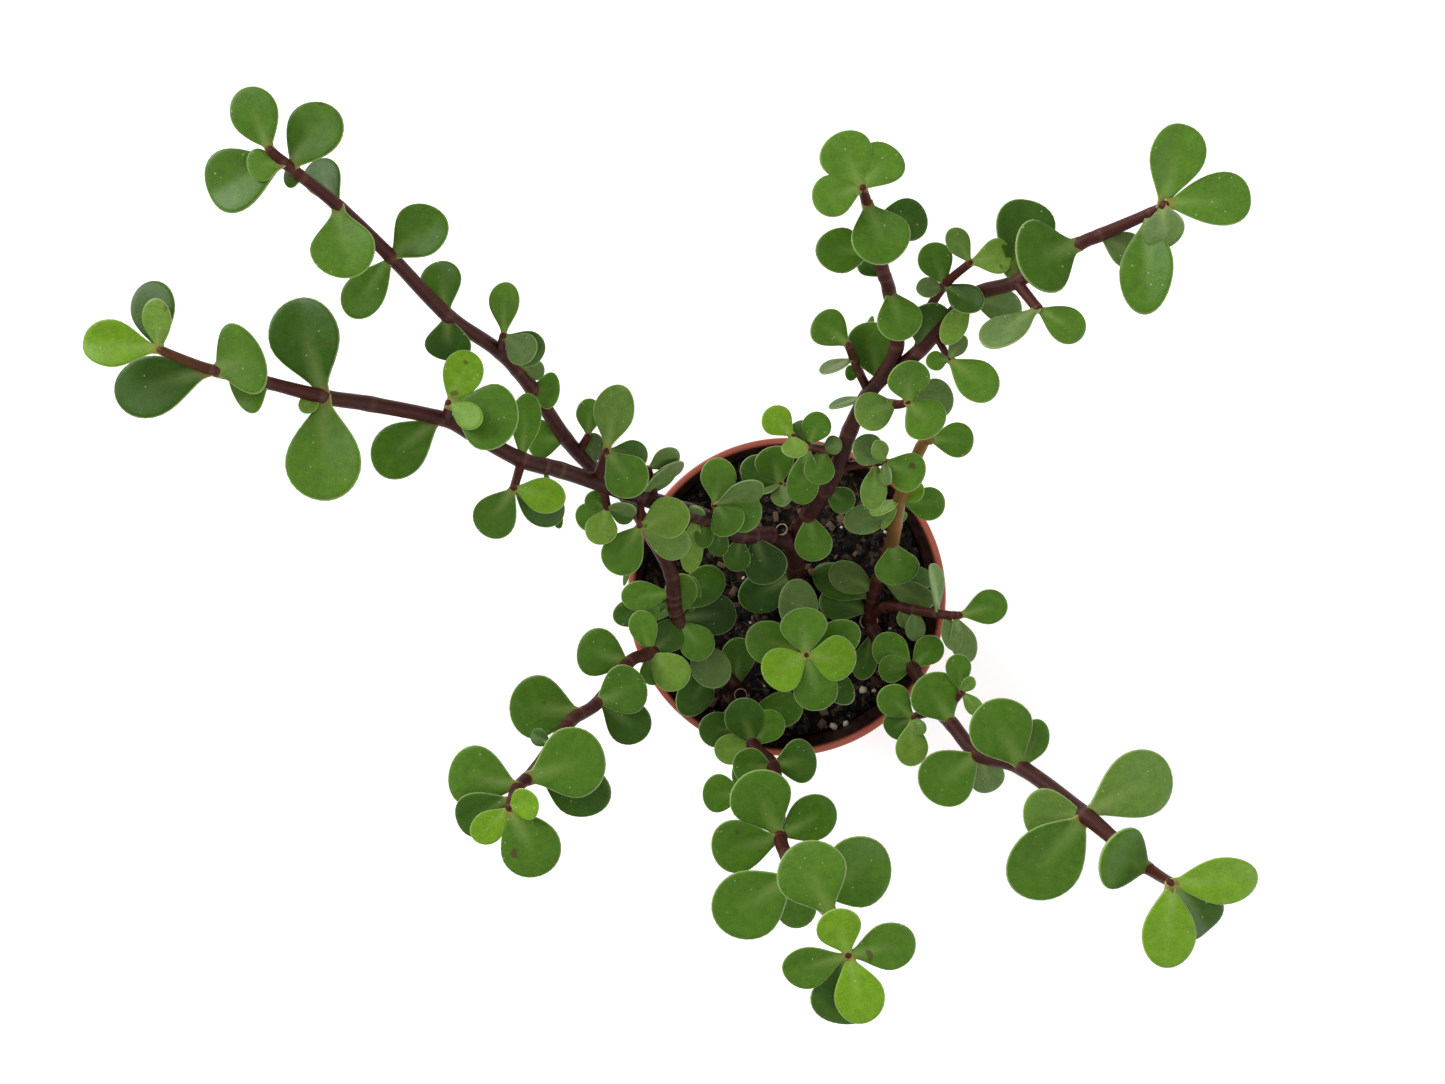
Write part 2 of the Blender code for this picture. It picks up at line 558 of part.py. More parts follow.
def leaf(name, base, row, draw, collection):
    """One leaf, from a flat drum drawn out to the leaf's outline, thickened in its middle and cupped."""
    _, heading, rise, length, width, roll = row
    length *= MM
    width *= MM
    thickness = min(max(width * LEAF_THICKNESS, LEAF_THINNEST), LEAF_THICKEST)
    bend = draw.uniform(-1, 1) * LEAF_BEND
    shape = bmesh.new()
    bmesh.ops.create_cone(
        shape, cap_ends=True, cap_tris=True, segments=LEAF_SIDES, radius1=1, radius2=1, depth=2
    )
    for point in shape.verts:
        face = point.co.z
        is_centre = point.co.xy.length_squared < 1 / 2
        if is_centre:
            station, side, half_thickness = LEAF_CENTRE, 0, thickness / 2
        else:
            turn = round(math.atan2(point.co.x, point.co.y) * LEAF_SIDES / math.tau)
            station = LEAF_STATIONS[abs(turn)]
            side = math.copysign(half_width(station) * LEAF_CORNERS_OUT, turn) if turn else 0
            half_thickness = LEAF_EDGE / 2
        lift = LEAF_CUP * width * (2 * side) ** 2 + bend * length * station**2
        point.co = (length * station - LEAF_SINK, width * side, lift + face * half_thickness)
    bmesh.ops.recalc_face_normals(shape, faces=shape.faces)
    turned = (
        Matrix.Translation(base)
        @ Matrix.Rotation(math.radians(heading), 4, "Z")
        @ Matrix.Rotation(math.radians(-rise), 4, "Y")
        @ Matrix.Rotation(math.radians(roll), 4, "X")
    )
    shape.transform(turned)
    mesh = bpy.data.meshes.new(name)
    shape.to_mesh(mesh)
    shape.free()
    made = bpy.data.objects.new(name, mesh)
    collection.objects.link(made)
    return made


def fuse(name, pieces, first, parts):
    """All pieces of one cutting joined in one closed body."""
    join = first.modifiers.new("join", "BOOLEAN")
    join.operation = "UNION"
    join.operand_type = "COLLECTION"
    join.collection = pieces
    join.solver = "EXACT"
    graph = bpy.context.evaluated_depsgraph_get()
    mesh = bpy.data.meshes.new_from_object(first.evaluated_get(graph))
    mesh.name = name
    made = bpy.data.objects.new(name, mesh)
    parts.objects.link(made)
    for used in [first, *pieces.objects]:
        bpy.data.objects.remove(used)
    bpy.data.collections.remove(pieces)
    return made


def build_cutting(name, shoots, green, parts):
    """The stems and leaves of one rooted cutting, grown as one piece."""
    draw = random.Random(LEAF_SEED)
    pieces = new_collection(f"{name}_pieces", bpy.context.scene.collection)
    first = stem(f"{name}_stem_0", shoots[0].path, parts)
    for number, shoot in enumerate(shoots):
        if number:
            stem(f"{name}_stem_{number}", shoot.path, pieces)
        for row in shoot.leaves:
            base, _ = along(shoot.path, row[0])
            leaf(f"{name}_leaf", base, row, draw, pieces)
    made = fuse(name, pieces, first, parts)
    made.data.materials.clear()
    made.data.materials.append(green)


def main():
    clear_scene()
    scene = bpy.context.scene.collection
    parts = new_collection("potted_elephant_bush", scene)
    cutters = new_collection("cutters", scene)
    build_pot(parts, new_collection("pot_cutters", cutters))
    build_soil(parts, new_collection("soil_cutters", cutters))
    green = material("elephant_bush_leaf", LEAF_COLOUR, 0.4)
    for name, shoots in CUTTINGS.items():
        build_cutting(name, shoots, green, parts)


main()
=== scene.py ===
"""Potted elephant bush: four rooted cuttings with fleshy leaves, in a terracotta-coloured nursery pot."""

import math
import random
from collections import namedtuple

import bmesh
import bpy
from mathutils import Matrix, Vector, noise


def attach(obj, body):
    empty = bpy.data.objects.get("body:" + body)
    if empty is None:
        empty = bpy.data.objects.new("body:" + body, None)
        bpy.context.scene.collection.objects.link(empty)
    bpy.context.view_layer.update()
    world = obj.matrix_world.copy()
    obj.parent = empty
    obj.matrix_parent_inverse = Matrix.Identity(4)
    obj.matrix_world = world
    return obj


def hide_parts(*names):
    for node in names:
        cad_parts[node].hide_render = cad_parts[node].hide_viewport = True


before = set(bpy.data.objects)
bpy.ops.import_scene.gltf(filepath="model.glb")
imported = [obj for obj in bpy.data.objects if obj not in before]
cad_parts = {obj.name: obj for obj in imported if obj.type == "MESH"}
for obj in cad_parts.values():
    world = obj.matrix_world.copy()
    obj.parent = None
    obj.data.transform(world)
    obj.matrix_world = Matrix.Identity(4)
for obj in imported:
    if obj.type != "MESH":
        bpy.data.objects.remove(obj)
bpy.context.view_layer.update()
MM = 0.001


# The pot: a nursery pot of terracotta-coloured polypropylene, injection-moulded in one piece. Its thin wall
# tapers to the base, a deeper band stiffens the rim, and water drains through round holes in the floor.
POT_HEIGHT = 92 * MM
RIM_RADIUS = 52.5 * MM
RIM_INNER_RADIUS = 50.4 * MM
RIM_ROUNDING = 0.7 * MM
BAND_HEIGHT = 12 * MM
BAND_FOOT_RADIUS = 51.9 * MM
BAND_ROUNDING = 0.4 * MM
BASE_RADIUS = 38 * MM
BASE_CORNER = 2 * MM
WALL = 1.2 * MM
FLOOR = 1.6 * MM
POT_SIDES = 160
DRAIN_HOLES = 6
DRAIN_HOLE_RADIUS = 4 * MM
DRAIN_CIRCLE_RADIUS = 27 * MM
MERGE_DISTANCE = 0.001 * MM


def linear(code):
    """The linear colour of an sRGB hex code."""
    shares = [int(code[start:start + 2], 16) / 255 for start in (0, 2, 4)]
    return (*(((s + 0.055) / 1.055) ** 2.4 if s > 0.04045 else s / 12.92 for s in shares), 1)


def new_material(name, **constants):
    """A material whose shader has these constant values, with its node tree and shader."""
    made = bpy.data.materials.new(name)
    made.use_nodes = True
    shader = made.node_tree.nodes["Principled BSDF"]
    for socket, value in constants.items():
        shader.inputs[socket.replace("_", " ")].default_value = value
    return made, made.node_tree, shader


def add(tree, kind, inputs, **settings):
    """A node with its settings, and each input linked to a socket or set to a value."""
    node = tree.nodes.new(kind)
    for name, value in settings.items():
        setattr(node, name, value)
    for name, value in inputs.items():
        if isinstance(value, bpy.types.NodeSocket):
            tree.links.new(value, node.inputs[name])
        else:
            node.inputs[name].default_value = value
    return node


def blended(tree, factor, first, second):
    """One colour shading into another."""
    return add(tree, "ShaderNodeMix", {"Factor": factor, 6: first, 7: second}, data_type="RGBA").outputs[2]


def worked_out(tree, operation, *values):
    """The result of one step of arithmetic."""
    return add(tree, "ShaderNodeMath", dict(enumerate(values)), operation=operation).outputs["Value"]


def ranged(tree, value, before, after):
    """A value moved from one pair of limits to another."""
    limits = {"From Min": before[0], "From Max": before[1], "To Min": after[0], "To Max": after[1]}
    return add(tree, "ShaderNodeMapRange", {"Value": value, **limits}).outputs["Result"]


def cloudy(tree, place, size, detail, roughness=0.5, distortion=0):
    """Noise with patches of about this size."""
    look = {"Scale": 1 / size, "Detail": detail, "Roughness": roughness, "Distortion": distortion}
    return add(tree, "ShaderNodeTexNoise", {"Vector": place, **look}).outputs["Fac"]


def roughen(tree, shader, height, strength, depth):
    """Gives the surface this fine relief."""
    bump = add(tree, "ShaderNodeBump", {"Height": height, "Strength": strength, "Distance": depth})
    tree.links.new(bump.outputs["Normal"], shader.inputs["Normal"])


def arc(centre, radius, start, end, steps):
    """Points on a turned profile's corner, in degrees from the outward direction."""
    angles = [math.radians(start + (end - start) * step / steps) for step in range(steps + 1)]
    return [(centre[0] + radius * math.cos(a), centre[1] + radius * math.sin(a)) for a in angles]


def turned(profile, sides):
    """A profile of radii and heights spun into a closed body round the pot's axis."""
    shape = bmesh.new()
    points = [shape.verts.new((radius, 0, height)) for radius, height in profile]
    lines = [shape.edges.new(pair) for pair in zip(points, points[1:])]
    body = points + lines
    bmesh.ops.spin(
        shape, geom=body, cent=(0, 0, 0), axis=(0, 0, 1), angle=math.tau, steps=sides, use_merge=True
    )
    bmesh.ops.remove_doubles(shape, verts=shape.verts, dist=MERGE_DISTANCE)
    bmesh.ops.recalc_face_normals(shape, faces=shape.faces)
    return shape


def finished(name, shape, material, slot, *nodes):
    """The piece made from a shape, shaded smooth and riding with the pot, in place of these solids."""
    mesh = bpy.data.meshes.new(name)
    shape.to_mesh(mesh)
    shape.free()
    mesh.shade_smooth()
    mesh.materials.append(material)
    piece = bpy.data.objects.new(name, mesh)
    bpy.context.scene.collection.objects.link(piece)
    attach(piece, "root")
    if nodes:
        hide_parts(*nodes)
    return piece


def inner_radius(height):
    """Radius of the pot's straight tapered inner wall at this height."""
    foot = BASE_RADIUS - WALL
    return foot + (height - FLOOR) / (POT_HEIGHT - FLOOR) * (RIM_INNER_RADIUS - foot)


band_foot = POT_HEIGHT - BAND_HEIGHT
below_band = inner_radius(band_foot) + WALL
pot_shape = turned(
    [
        (0, FLOOR),
        (inner_radius(FLOOR) - BASE_CORNER, FLOOR),
        *arc((inner_radius(FLOOR) - BASE_CORNER, FLOOR + BASE_CORNER), BASE_CORNER, -70, -10, 4),
        *arc((RIM_INNER_RADIUS + RIM_ROUNDING, POT_HEIGHT - RIM_ROUNDING), RIM_ROUNDING, 180, 90, 6),
        *arc((RIM_RADIUS - RIM_ROUNDING, POT_HEIGHT - RIM_ROUNDING), RIM_ROUNDING, 90, 0, 6),
        *arc((BAND_FOOT_RADIUS - BAND_ROUNDING, band_foot + BAND_ROUNDING), BAND_ROUNDING, 0, -90, 3),
        *arc((below_band + BAND_ROUNDING, band_foot - BAND_ROUNDING), BAND_ROUNDING, 90, 180, 3),
        *arc((BASE_RADIUS - BASE_CORNER, BASE_CORNER), BASE_CORNER, 0, -90, 6),
        (0, 0),
    ],
    POT_SIDES,
)

# Moulded polypropylene, coloured through: satin, a little mottled, with fine scuffs that break up its sheen.
# Inside, below the lip, the wall is darkened to near black, partly peat dust clinging to it, partly painted
# shade.
plastic, tree, shader = new_material("terracotta_coloured_polypropylene", IOR=1.49)
place = add(tree, "ShaderNodeTexCoord", {}).outputs["Object"]
mottle = cloudy(tree, place, 9 * MM, 5)
body = blended(tree, mottle, linear("8f4433"), linear("a8553f"))
height = add(tree, "ShaderNodeSeparateXYZ", {"Vector": place}).outputs["Z"]
across = add(tree, "ShaderNodeVectorMath", {0: place, 1: (1, 1, 0)}, operation="MULTIPLY").outputs["Vector"]
radius = add(tree, "ShaderNodeVectorMath", {0: across}, operation="LENGTH").outputs["Value"]
wall_slope = (inner_radius(POT_HEIGHT) - inner_radius(0)) / POT_HEIGHT
inner_wall = worked_out(tree, "MULTIPLY_ADD", height, wall_slope, inner_radius(0))
into_wall = worked_out(tree, "SUBTRACT", radius, inner_wall)
inside = ranged(tree, into_wall, (0.7 * WALL, 0.4 * WALL), (0, 1))
above_floor = worked_out(tree, "GREATER_THAN", height, FLOOR / 2)
inside = worked_out(tree, "MULTIPLY", inside, above_floor)
# Painted shade and peat dust: the inside of the wall turns near black from just below the lip.
dust_and_painted_shade = ranged(tree, height, (POT_HEIGHT - 0.6 * MM, POT_HEIGHT - 2.2 * MM), (0, 1))
patches = cloudy(tree, place, 2.5 * MM, 6)
patches = ranged(tree, patches, (0.3, 0.6), (0.88, 1))
dust_and_painted_shade = worked_out(tree, "MULTIPLY", dust_and_painted_shade, patches)
dust_and_painted_shade = worked_out(tree, "MULTIPLY", dust_and_painted_shade, inside)
dust_and_shade_coloured = blended(tree, dust_and_painted_shade, body, linear("110b08"))
tree.links.new(dust_and_shade_coloured, shader.inputs["Base Color"])
scuffs = cloudy(tree, place, 1.5 * MM, 8, roughness=0.7)
tree.links.new(ranged(tree, scuffs, (0, 1), (0.34, 0.56)), shader.inputs["Roughness"])
grain = cloudy(tree, place, 0.5 * MM, 3)
roughen(tree, shader, grain, 0.15, 0.05 * MM)

pot = finished("nursery_pot", pot_shape, plastic, "pot_plastic", "pot")

# The six drain holes are cut through the floor.
drills = bmesh.new()
for hole in range(DRAIN_HOLES):
    angle = math.tau * hole / DRAIN_HOLES
    centre = Vector((math.cos(angle), math.sin(angle), 0)) * DRAIN_CIRCLE_RADIUS
    bmesh.ops.create_cone(
        drills,
        cap_ends=True,
        segments=32,
        radius1=DRAIN_HOLE_RADIUS,
        radius2=DRAIN_HOLE_RADIUS,
        depth=4 * FLOOR,
        matrix=Matrix.Translation(centre),
    )
drill_mesh = bpy.data.meshes.new("drain_drills")
drills.to_mesh(drill_mesh)
drills.free()
drill = bpy.data.objects.new("drain_drills", drill_mesh)
cut = pot.modifiers.new("drain_holes", "BOOLEAN")
cut.operation = "DIFFERENCE"
cut.solver = "EXACT"
cut.object = drill
drilled = bpy.data.meshes.new_from_object(pot.evaluated_get(bpy.context.evaluated_depsgraph_get()))
pot.modifiers.clear()
pot.data = drilled
bpy.data.objects.remove(drill)


# The soil: moist peat potting mix, filled to 12 mm below the rim and settled into lumps.
SOIL_DEPTH_BELOW_RIM = 12 * MM
SOIL_GAP = 0.3 * MM
SOIL_LUMPS = ((7 * MM, 1.1 * MM), (2.6 * MM, 0.8 * MM), (1.1 * MM, 0.4 * MM))
SOIL_RINGS = 64
SOIL_SIDES = 200


def soil_height(x, y):
    """Height of the lumpy top of the soil above the pot's underside."""
    spot = Vector((x, y, 0))
    lumps = sum(size * noise.noise(spot / spacing) for spacing, size in SOIL_LUMPS)
    return POT_HEIGHT - SOIL_DEPTH_BELOW_RIM + lumps


soil_top = POT_HEIGHT - SOIL_DEPTH_BELOW_RIM
soil_foot = FLOOR + SOIL_GAP
soil_edge = inner_radius(soil_top) - 2 * SOIL_GAP
soil_shape = turned(
    [
        *((soil_edge * ring / SOIL_RINGS, soil_top) for ring in range(SOIL_RINGS + 1)),
        (inner_radius(soil_foot) - BASE_CORNER - SOIL_GAP, soil_foot),
        (0, soil_foot),
    ],
    SOIL_SIDES,
)
for point in soil_shape.verts:
    if point.co.z > soil_top - SOIL_GAP:
        point.co.z = soil_height(point.co.x, point.co.y)

# Moist peat: nearly black, matt, with brown crumbs and a rough broken grain.
peat, tree, shader = new_material("moist_peat", Roughness=0.95, Specular_IOR_Level=0.25)
place = add(tree, "ShaderNodeTexCoord", {}).outputs["Object"]
crumbs = add(tree, "ShaderNodeTexVoronoi", {"Vector": place, "Scale": 1 / (1.5 * MM)}).outputs["Color"]
shade = add(tree, "ShaderNodeSeparateColor", {"Color": crumbs}).outputs["Red"]
colours = add(tree, "ShaderNodeValToRGB", {"Fac": shade})
colours.color_ramp.elements[0].color = linear("090706")
colours.color_ramp.elements[1].color = linear("4d3b2e")
colours.color_ramp.elements[1].position = 0.95
middle = colours.color_ramp.elements.new(0.62)
middle.color = linear("17110d")
tree.links.new(colours.outputs["Color"], shader.inputs["Base Color"])
grain = cloudy(tree, place, 0.6 * MM, 6, roughness=0.75)
roughen(tree, shader, grain, 0.9, 0.5 * MM)
finished("peat_soil", soil_shape, peat, "peat", "soil")

# Loose crumbs of peat lie on the soil.
CRUMBS = 1300
CRUMB_RADII = (0.35 * MM, 1.5 * MM)
KNOBBLE = 0.55
KNOBBLES = 1.3
SUNK_LUMP_LIFT = 0.3
scatter = random.Random(11)


def spot_on_soil(margin):
    """A random point on the soil, this far inside the pot's wall."""
    reach = (soil_edge - margin) * math.sqrt(scatter.random())
    angle = scatter.uniform(0, math.tau)
    x, y = reach * math.cos(angle), reach * math.sin(angle)
    return Vector((x, y, soil_height(x, y)))


def blank(name, operator, **sizes):
    """A mesh made by one of bmesh's create operators, to be stamped many times."""
    shape = bmesh.new()
    operator(shape, **sizes)
    mesh = bpy.data.meshes.new(name)
    shape.to_mesh(mesh)
    shape.free()
    return mesh


def stamp(shape, mesh):
    """Adds a copy of a blank to the shape and returns its points."""
    shape.from_mesh(mesh)
    shape.verts.ensure_lookup_table()
    return shape.verts[len(shape.verts) - len(mesh.vertices):]


def lump(shape, mesh, radius, squash, spot):
    """An irregular pebble of this radius, turned at random and sunk a little at its spot."""
    turn = Matrix.Rotation(scatter.uniform(0, math.tau), 4, Vector((scatter.random(), scatter.random(), 1)))
    seed = Vector((scatter.uniform(0, 99), 0, 0))
    for point in stamp(shape, mesh):
        knobbly = radius * (1 + KNOBBLE * noise.noise(point.co * KNOBBLES + seed))
        point.co = turn @ Vector((point.co.x, point.co.y * squash, point.co.z * squash)) * knobbly
        point.co += spot + Vector((0, 0, SUNK_LUMP_LIFT * radius))


crumb = blank("crumb", bmesh.ops.create_icosphere, subdivisions=1, radius=1)
crumb_shape = bmesh.new()
for _ in range(CRUMBS):
    size = CRUMB_RADII[0] + (CRUMB_RADII[1] - CRUMB_RADII[0]) * scatter.random() ** 2.5
    lump(crumb_shape, crumb, size, scatter.uniform(0.6, 1), spot_on_soil(size))
finished("peat_crumbs", crumb_shape, peat, "peat")

# Brown bark chips and pale grains of perlite are mixed into the peat, and a few grains lie where the photo
# shows them.
CHIPS = 110
CHIP_LENGTHS = (0.9, 3.2)
CHIP_TILT = 0.35
CHIP_LIFT = 0.7 * MM
CHIP_WORN_EDGE = 0.15 * MM
GRAINS = 26
GRAIN_SPOTS = ((26.5, -32, 1.5), (16.5, -44.5, 1.5), (20.8, -43.8, 1.3), (34.5, -16, 1))
chip_shape = bmesh.new()
for _ in range(CHIPS):
    chip = bmesh.ops.create_cube(chip_shape, size=1)["verts"]
    reach = CHIP_LENGTHS[0] + CHIP_LENGTHS[1] * scatter.random() ** 2
    size = (reach * MM, reach * scatter.uniform(0.5, 0.9) * MM, reach * scatter.uniform(0.3, 0.6) * MM)
    spot = spot_on_soil(size[0] / 2)
    turn = (
        Matrix.Translation(spot + Vector((0, 0, CHIP_LIFT)))
        @ Matrix.Rotation(scatter.uniform(0, math.tau), 4, "Z")
        @ Matrix.Rotation(scatter.uniform(-CHIP_TILT, CHIP_TILT), 4, "Y")
        @ Matrix.Diagonal((*size, 1))
    )
    for point in chip:
        point.co = turn @ (point.co * scatter.uniform(0.7, 1.15))
bmesh.ops.bevel(
    chip_shape,
    geom=chip_shape.edges,
    offset=CHIP_WORN_EDGE,
    segments=1,
    profile=0.5,
    affect="EDGES",
    material=-1,
)
# Composted bark: dull brown with long darker fibres.
bark_chip, tree, shader = new_material("composted_bark", Roughness=0.9)
place = add(tree, "ShaderNodeTexCoord", {}).outputs["Object"]
fibre = cloudy(tree, place, 0.8 * MM, 5, distortion=1.5)
tree.links.new(blended(tree, fibre, linear("2a1c14"), linear("80634c")), shader.inputs["Base Color"])
roughen(tree, shader, fibre, 0.8, 0.3 * MM)
finished("bark_chips", chip_shape, bark_chip, "peat")

pebble = blank("pebble", bmesh.ops.create_icosphere, subdivisions=2, radius=1)
grain_shape = bmesh.new()
for x, y, size in GRAIN_SPOTS:
    spot = Vector((x * MM, y * MM, soil_height(x * MM, y * MM)))
    lump(grain_shape, pebble, size * MM, 0.8, spot)
for _ in range(GRAINS):
    size = scatter.uniform(0.4, 0.9) * MM
    lump(grain_shape, pebble, size, 0.8, spot_on_soil(size))
# Perlite: expanded volcanic glass, chalky and cream with peat stains.
perlite, tree, shader = new_material("perlite", Roughness=0.85)
place = add(tree, "ShaderNodeTexCoord", {}).outputs["Object"]
stain = cloudy(tree, place, 0.9 * MM, 4)
tree.links.new(blended(tree, stain, linear("8d7b66"), linear("f0e6d2")), shader.inputs["Base Color"])
finished("perlite_grains", grain_shape, perlite, "peat")

# Peat fibres: thin curled strands on the soil.
FIBRES = 60
FIBRE_RADIUS = 0.14 * MM
FIBRE_SIDES = 4
FIBRE_STEPS = 7
FIBRE_CURL = 0.35
FIBRE_HEIGHT = 0.6 * MM
FIBRE_WAVE = 0.5 * MM


def tube(shape, rings, sides):
    """A closed tube through rings of (centre, direction, radius), rolled up from a grid, with its points."""
    count = len(rings) - 1
    points = bmesh.ops.create_grid(shape, x_segments=sides, y_segments=count, size=1)["verts"]
    side = rings[0][1].orthogonal().normalized()
    frames = []
    for centre, direction, radius in rings:
        side = (side - direction * side.dot(direction)).normalized()
        frames.append((centre, side * radius, direction.cross(side) * radius))
    placed = []
    for point in points:
        angle = (point.co.x + 1) / 2 * math.tau
        ring = round((point.co.y + 1) / 2 * count)
        centre, right, up = frames[ring]
        point.co = centre + right * math.cos(angle) + up * math.sin(angle)
        placed.append((point, ring, angle))
    return placed


def sealed(shape):
    """The shape with the seams of its tubes welded, their ends closed and every face outwards."""
    bmesh.ops.remove_doubles(shape, verts=shape.verts, dist=MERGE_DISTANCE)
    bmesh.ops.holes_fill(shape, edges=[edge for edge in shape.edges if edge.is_boundary], sides=0)
    bmesh.ops.recalc_face_normals(shape, faces=shape.faces)
    return shape


fibre_shape = bmesh.new()
for _ in range(FIBRES):
    spot = spot_on_soil(4 * MM)
    heading = scatter.uniform(0, math.tau)
    curl = scatter.uniform(-FIBRE_CURL, FIBRE_CURL)
    stride = scatter.uniform(0.6, 1.6) * MM
    rings = []
    for step in range(FIBRE_STEPS + 1):
        direction = Vector((math.cos(heading), math.sin(heading), 0))
        if spot.xy.length < soil_edge - FIBRE_RADIUS:
            spot = spot + direction * stride
        spot.z = soil_height(spot.x, spot.y) + FIBRE_HEIGHT + FIBRE_WAVE * math.sin(step)
        thin = FIBRE_RADIUS * (1 if 0 < step < FIBRE_STEPS else 0.4)
        rings.append((spot.copy(), direction, thin))
        heading += curl
    tube(fibre_shape, rings, FIBRE_SIDES)
# Dry peat fibre: pale brown and matt.
peat_fibre, tree, shader = new_material("peat_fibre", Roughness=0.9, Base_Color=linear("6b5648"))
place = add(tree, "ShaderNodeTexCoord", {}).outputs["Object"]
stain = cloudy(tree, place, 4 * MM, 3)
tree.links.new(blended(tree, stain, linear("2a1f19"), linear("6b5848")), shader.inputs["Base Color"])
finished("peat_fibres", sealed(fibre_shape), peat_fibre, "peat")


# How the plant grows: a cutting is a trunk with shoots, each a tapered stem that is swollen and ringed at its
# nodes, with fleshy leaves in pairs at the nodes. A shoot's path lists x, y, height above the rim and
# thickness in mm. A leaf lists its node, heading, rise, length, width, roll and tint, in mm and degrees. One
# that was read in the photo is Seen instead, by the pixel of its tip and its width in pixels.
Shoot = namedtuple("Shoot", "path leaves")
Seen = namedtuple("Seen", "node tip width rise roll tint")
CAMERA_PLACE = (-21.2 * MM, 18.1 * MM, 450 * MM)
PHOTO_SIZE = (1445, 1084)
FOCAL_PIXELS = 1087
TIP_ROUNDS = 30
NARROWEST_VIEW = 0.25
STEM_STEP = 0.9 * MM
STEM_SIDES = 16
PATH_STEPS = 8
LOOK_AHEAD = 0.1
YOUNG_THICKNESS = 2
AGEING = 3.6
NODE_SWELLING = 0.07
NODE_REACH = 1.6 * MM
NODE_LINE_REACH = 0.45 * MM
CUT_RIM = ((1, 0), (1.04, 0.2), (1.04, 0.45), (0.96, 0.55), (0.88, 0.4), (0.85, -0.2), (0.8, -0.9))
TIP_DOME = ((0.9, 0.25), (0.7, 0.5), (0.4, 0.7), (0.12, 0.8))
LEAF_AROUND = 36
LEAF_ACROSS = 12
LEAF_WIDEST = (0.58, 0.67)
LEAF_SHOULDER = (0.95, 1.5)
LEAF_NECK = 0.2
LEAF_NECK_END = 0.1
LEAF_CENTRE = 0.58
LEAF_THICKNESS = 0.14
LEAF_THINNEST = 1.2 * MM
LEAF_THICKEST = 2.2 * MM
LEAF_FULLNESS = 0.7
LEAF_CUP = 0.05
LEAF_CREASE = 0.14
LEAF_CREASE_ROUNDING = 0.15
LEAF_BEND = 0.04
LEAF_FOLD = 0.3
LEAF_RIPPLE = 0.012
LEAF_SINK = 0.5 * MM
LEAF_SEED = 7
TINTS = {
    # The deep tint is painted shade: a darker green for low leaves shaded by those above.
    "deep": "26440c",
    "dark": "35560f",
    "mid_dark": "3d6010",
    "mid": "476c18",
    "bright": "527820",
    "olive": "4e6226",
    # The grey tint is partly the greyer colour of some leaves and partly painted sheen.
    "grey": "587038",
    "pale": "5e7e30",
    "lime": "688830",
    "silver": "6a7a50",
    "vivid": "689018",
}


def along(path, at):
    """The point and thickness at this count of nodes on the smooth curve through a shoot's path."""
    start = min(int(at), len(path) - 2)
    share = at - start
    before, here, ahead, beyond = (
        Vector(path[min(max(start + step, 0), len(path) - 1)]) for step in (-1, 0, 1, 2)
    )
    bend = (2 * before - 5 * here + 4 * ahead - beyond) * share**2
    twist = (3 * here - before - 3 * ahead + beyond) * share**3
    x, y, height, thickness = here + ((ahead - before) * share + bend + twist) / 2
    return Vector((x * MM, y * MM, POT_HEIGHT + height * MM)), thickness * MM


def grow_stem(shape, shoot, is_cut, ripening):
    """One stem on its shoot's path, swollen at its nodes, and ending in a bud or in a healed cut."""
    path = shoot.path
    last = len(path) - 1
    points = [along(path, at / PATH_STEPS)[0] for at in range(PATH_STEPS * last + 1)]
    length = sum((there - here).length for here, there in zip(points, points[1:]))
    count = max(8, round(length / STEM_STEP))
    nodes = {row[0] for row in shoot.leaves} | set(range(1, last))
    rings = []
    near_node = []
    for step in range(count + 1):
        at = last * step / count
        centre, thickness = along(path, at)
        ahead = along(path, min(at + LOOK_AHEAD, last))[0]
        behind = along(path, max(at - LOOK_AHEAD, 0))[0]
        direction = (ahead - behind).normalized()
        away = min((abs(at - node) * length / last for node in nodes), default=1)
        swelling = NODE_SWELLING * math.exp(-((away / NODE_REACH) ** 2))
        rings.append((centre, direction, thickness / 2 * (1 + swelling)))
        near_node.append(math.exp(-((away / NODE_LINE_REACH) ** 2)))
    centre, direction, radius = rings[-1]
    for share, rise in CUT_RIM if is_cut else TIP_DOME:
        rise = rise * MM if is_cut else rise * radius
        rings.append((centre + direction * rise, direction, radius * share))
        near_node.append(0)
    bark = shape.verts.layers.float_vector["bark"]
    marks = shape.verts.layers.float_color["marks"]
    reach = length / count
    for point, ring, angle in tube(shape, rings, STEM_SIDES):
        radius = rings[min(ring, count)][2]
        point[bark] = (radius * math.cos(angle), radius * math.sin(angle), ring * reach)
        old = min(1, max(0, (2 * radius / MM - YOUNG_THICKNESS) / AGEING))
        healed = (ring - count) / len(CUT_RIM) if is_cut and ring > count else 0
        start, end, ripeness = ripening
        ripe = ripeness * min(1, max(0, (ring / count - start) / (end - start)))
        point[marks] = (near_node[ring], old, healed, ripe)


def half_width(station, widest, shoulder):
    """Half of a leaf's width at this share of its length, as a share of its full width."""
    if station > widest:
        return 0.5 * math.sqrt(max(0, 1 - ((station - widest) / (1 - widest)) ** 2))
    share = max(0, (station - LEAF_NECK_END) / (widest - LEAF_NECK_END))
    return 0.5 * (LEAF_NECK + (1 - LEAF_NECK) * math.sin(share * math.pi / 2) ** shoulder)


def point_in_photo(pixel, height):
    """The point at this height that the photo shows at this pixel."""
    scale = (CAMERA_PLACE[2] - height) / FOCAL_PIXELS
    right, up = pixel[0] - PHOTO_SIZE[0] / 2, PHOTO_SIZE[1] / 2 - pixel[1]
    return Vector((CAMERA_PLACE[0] + right * scale, CAMERA_PLACE[1] + up * scale, height))


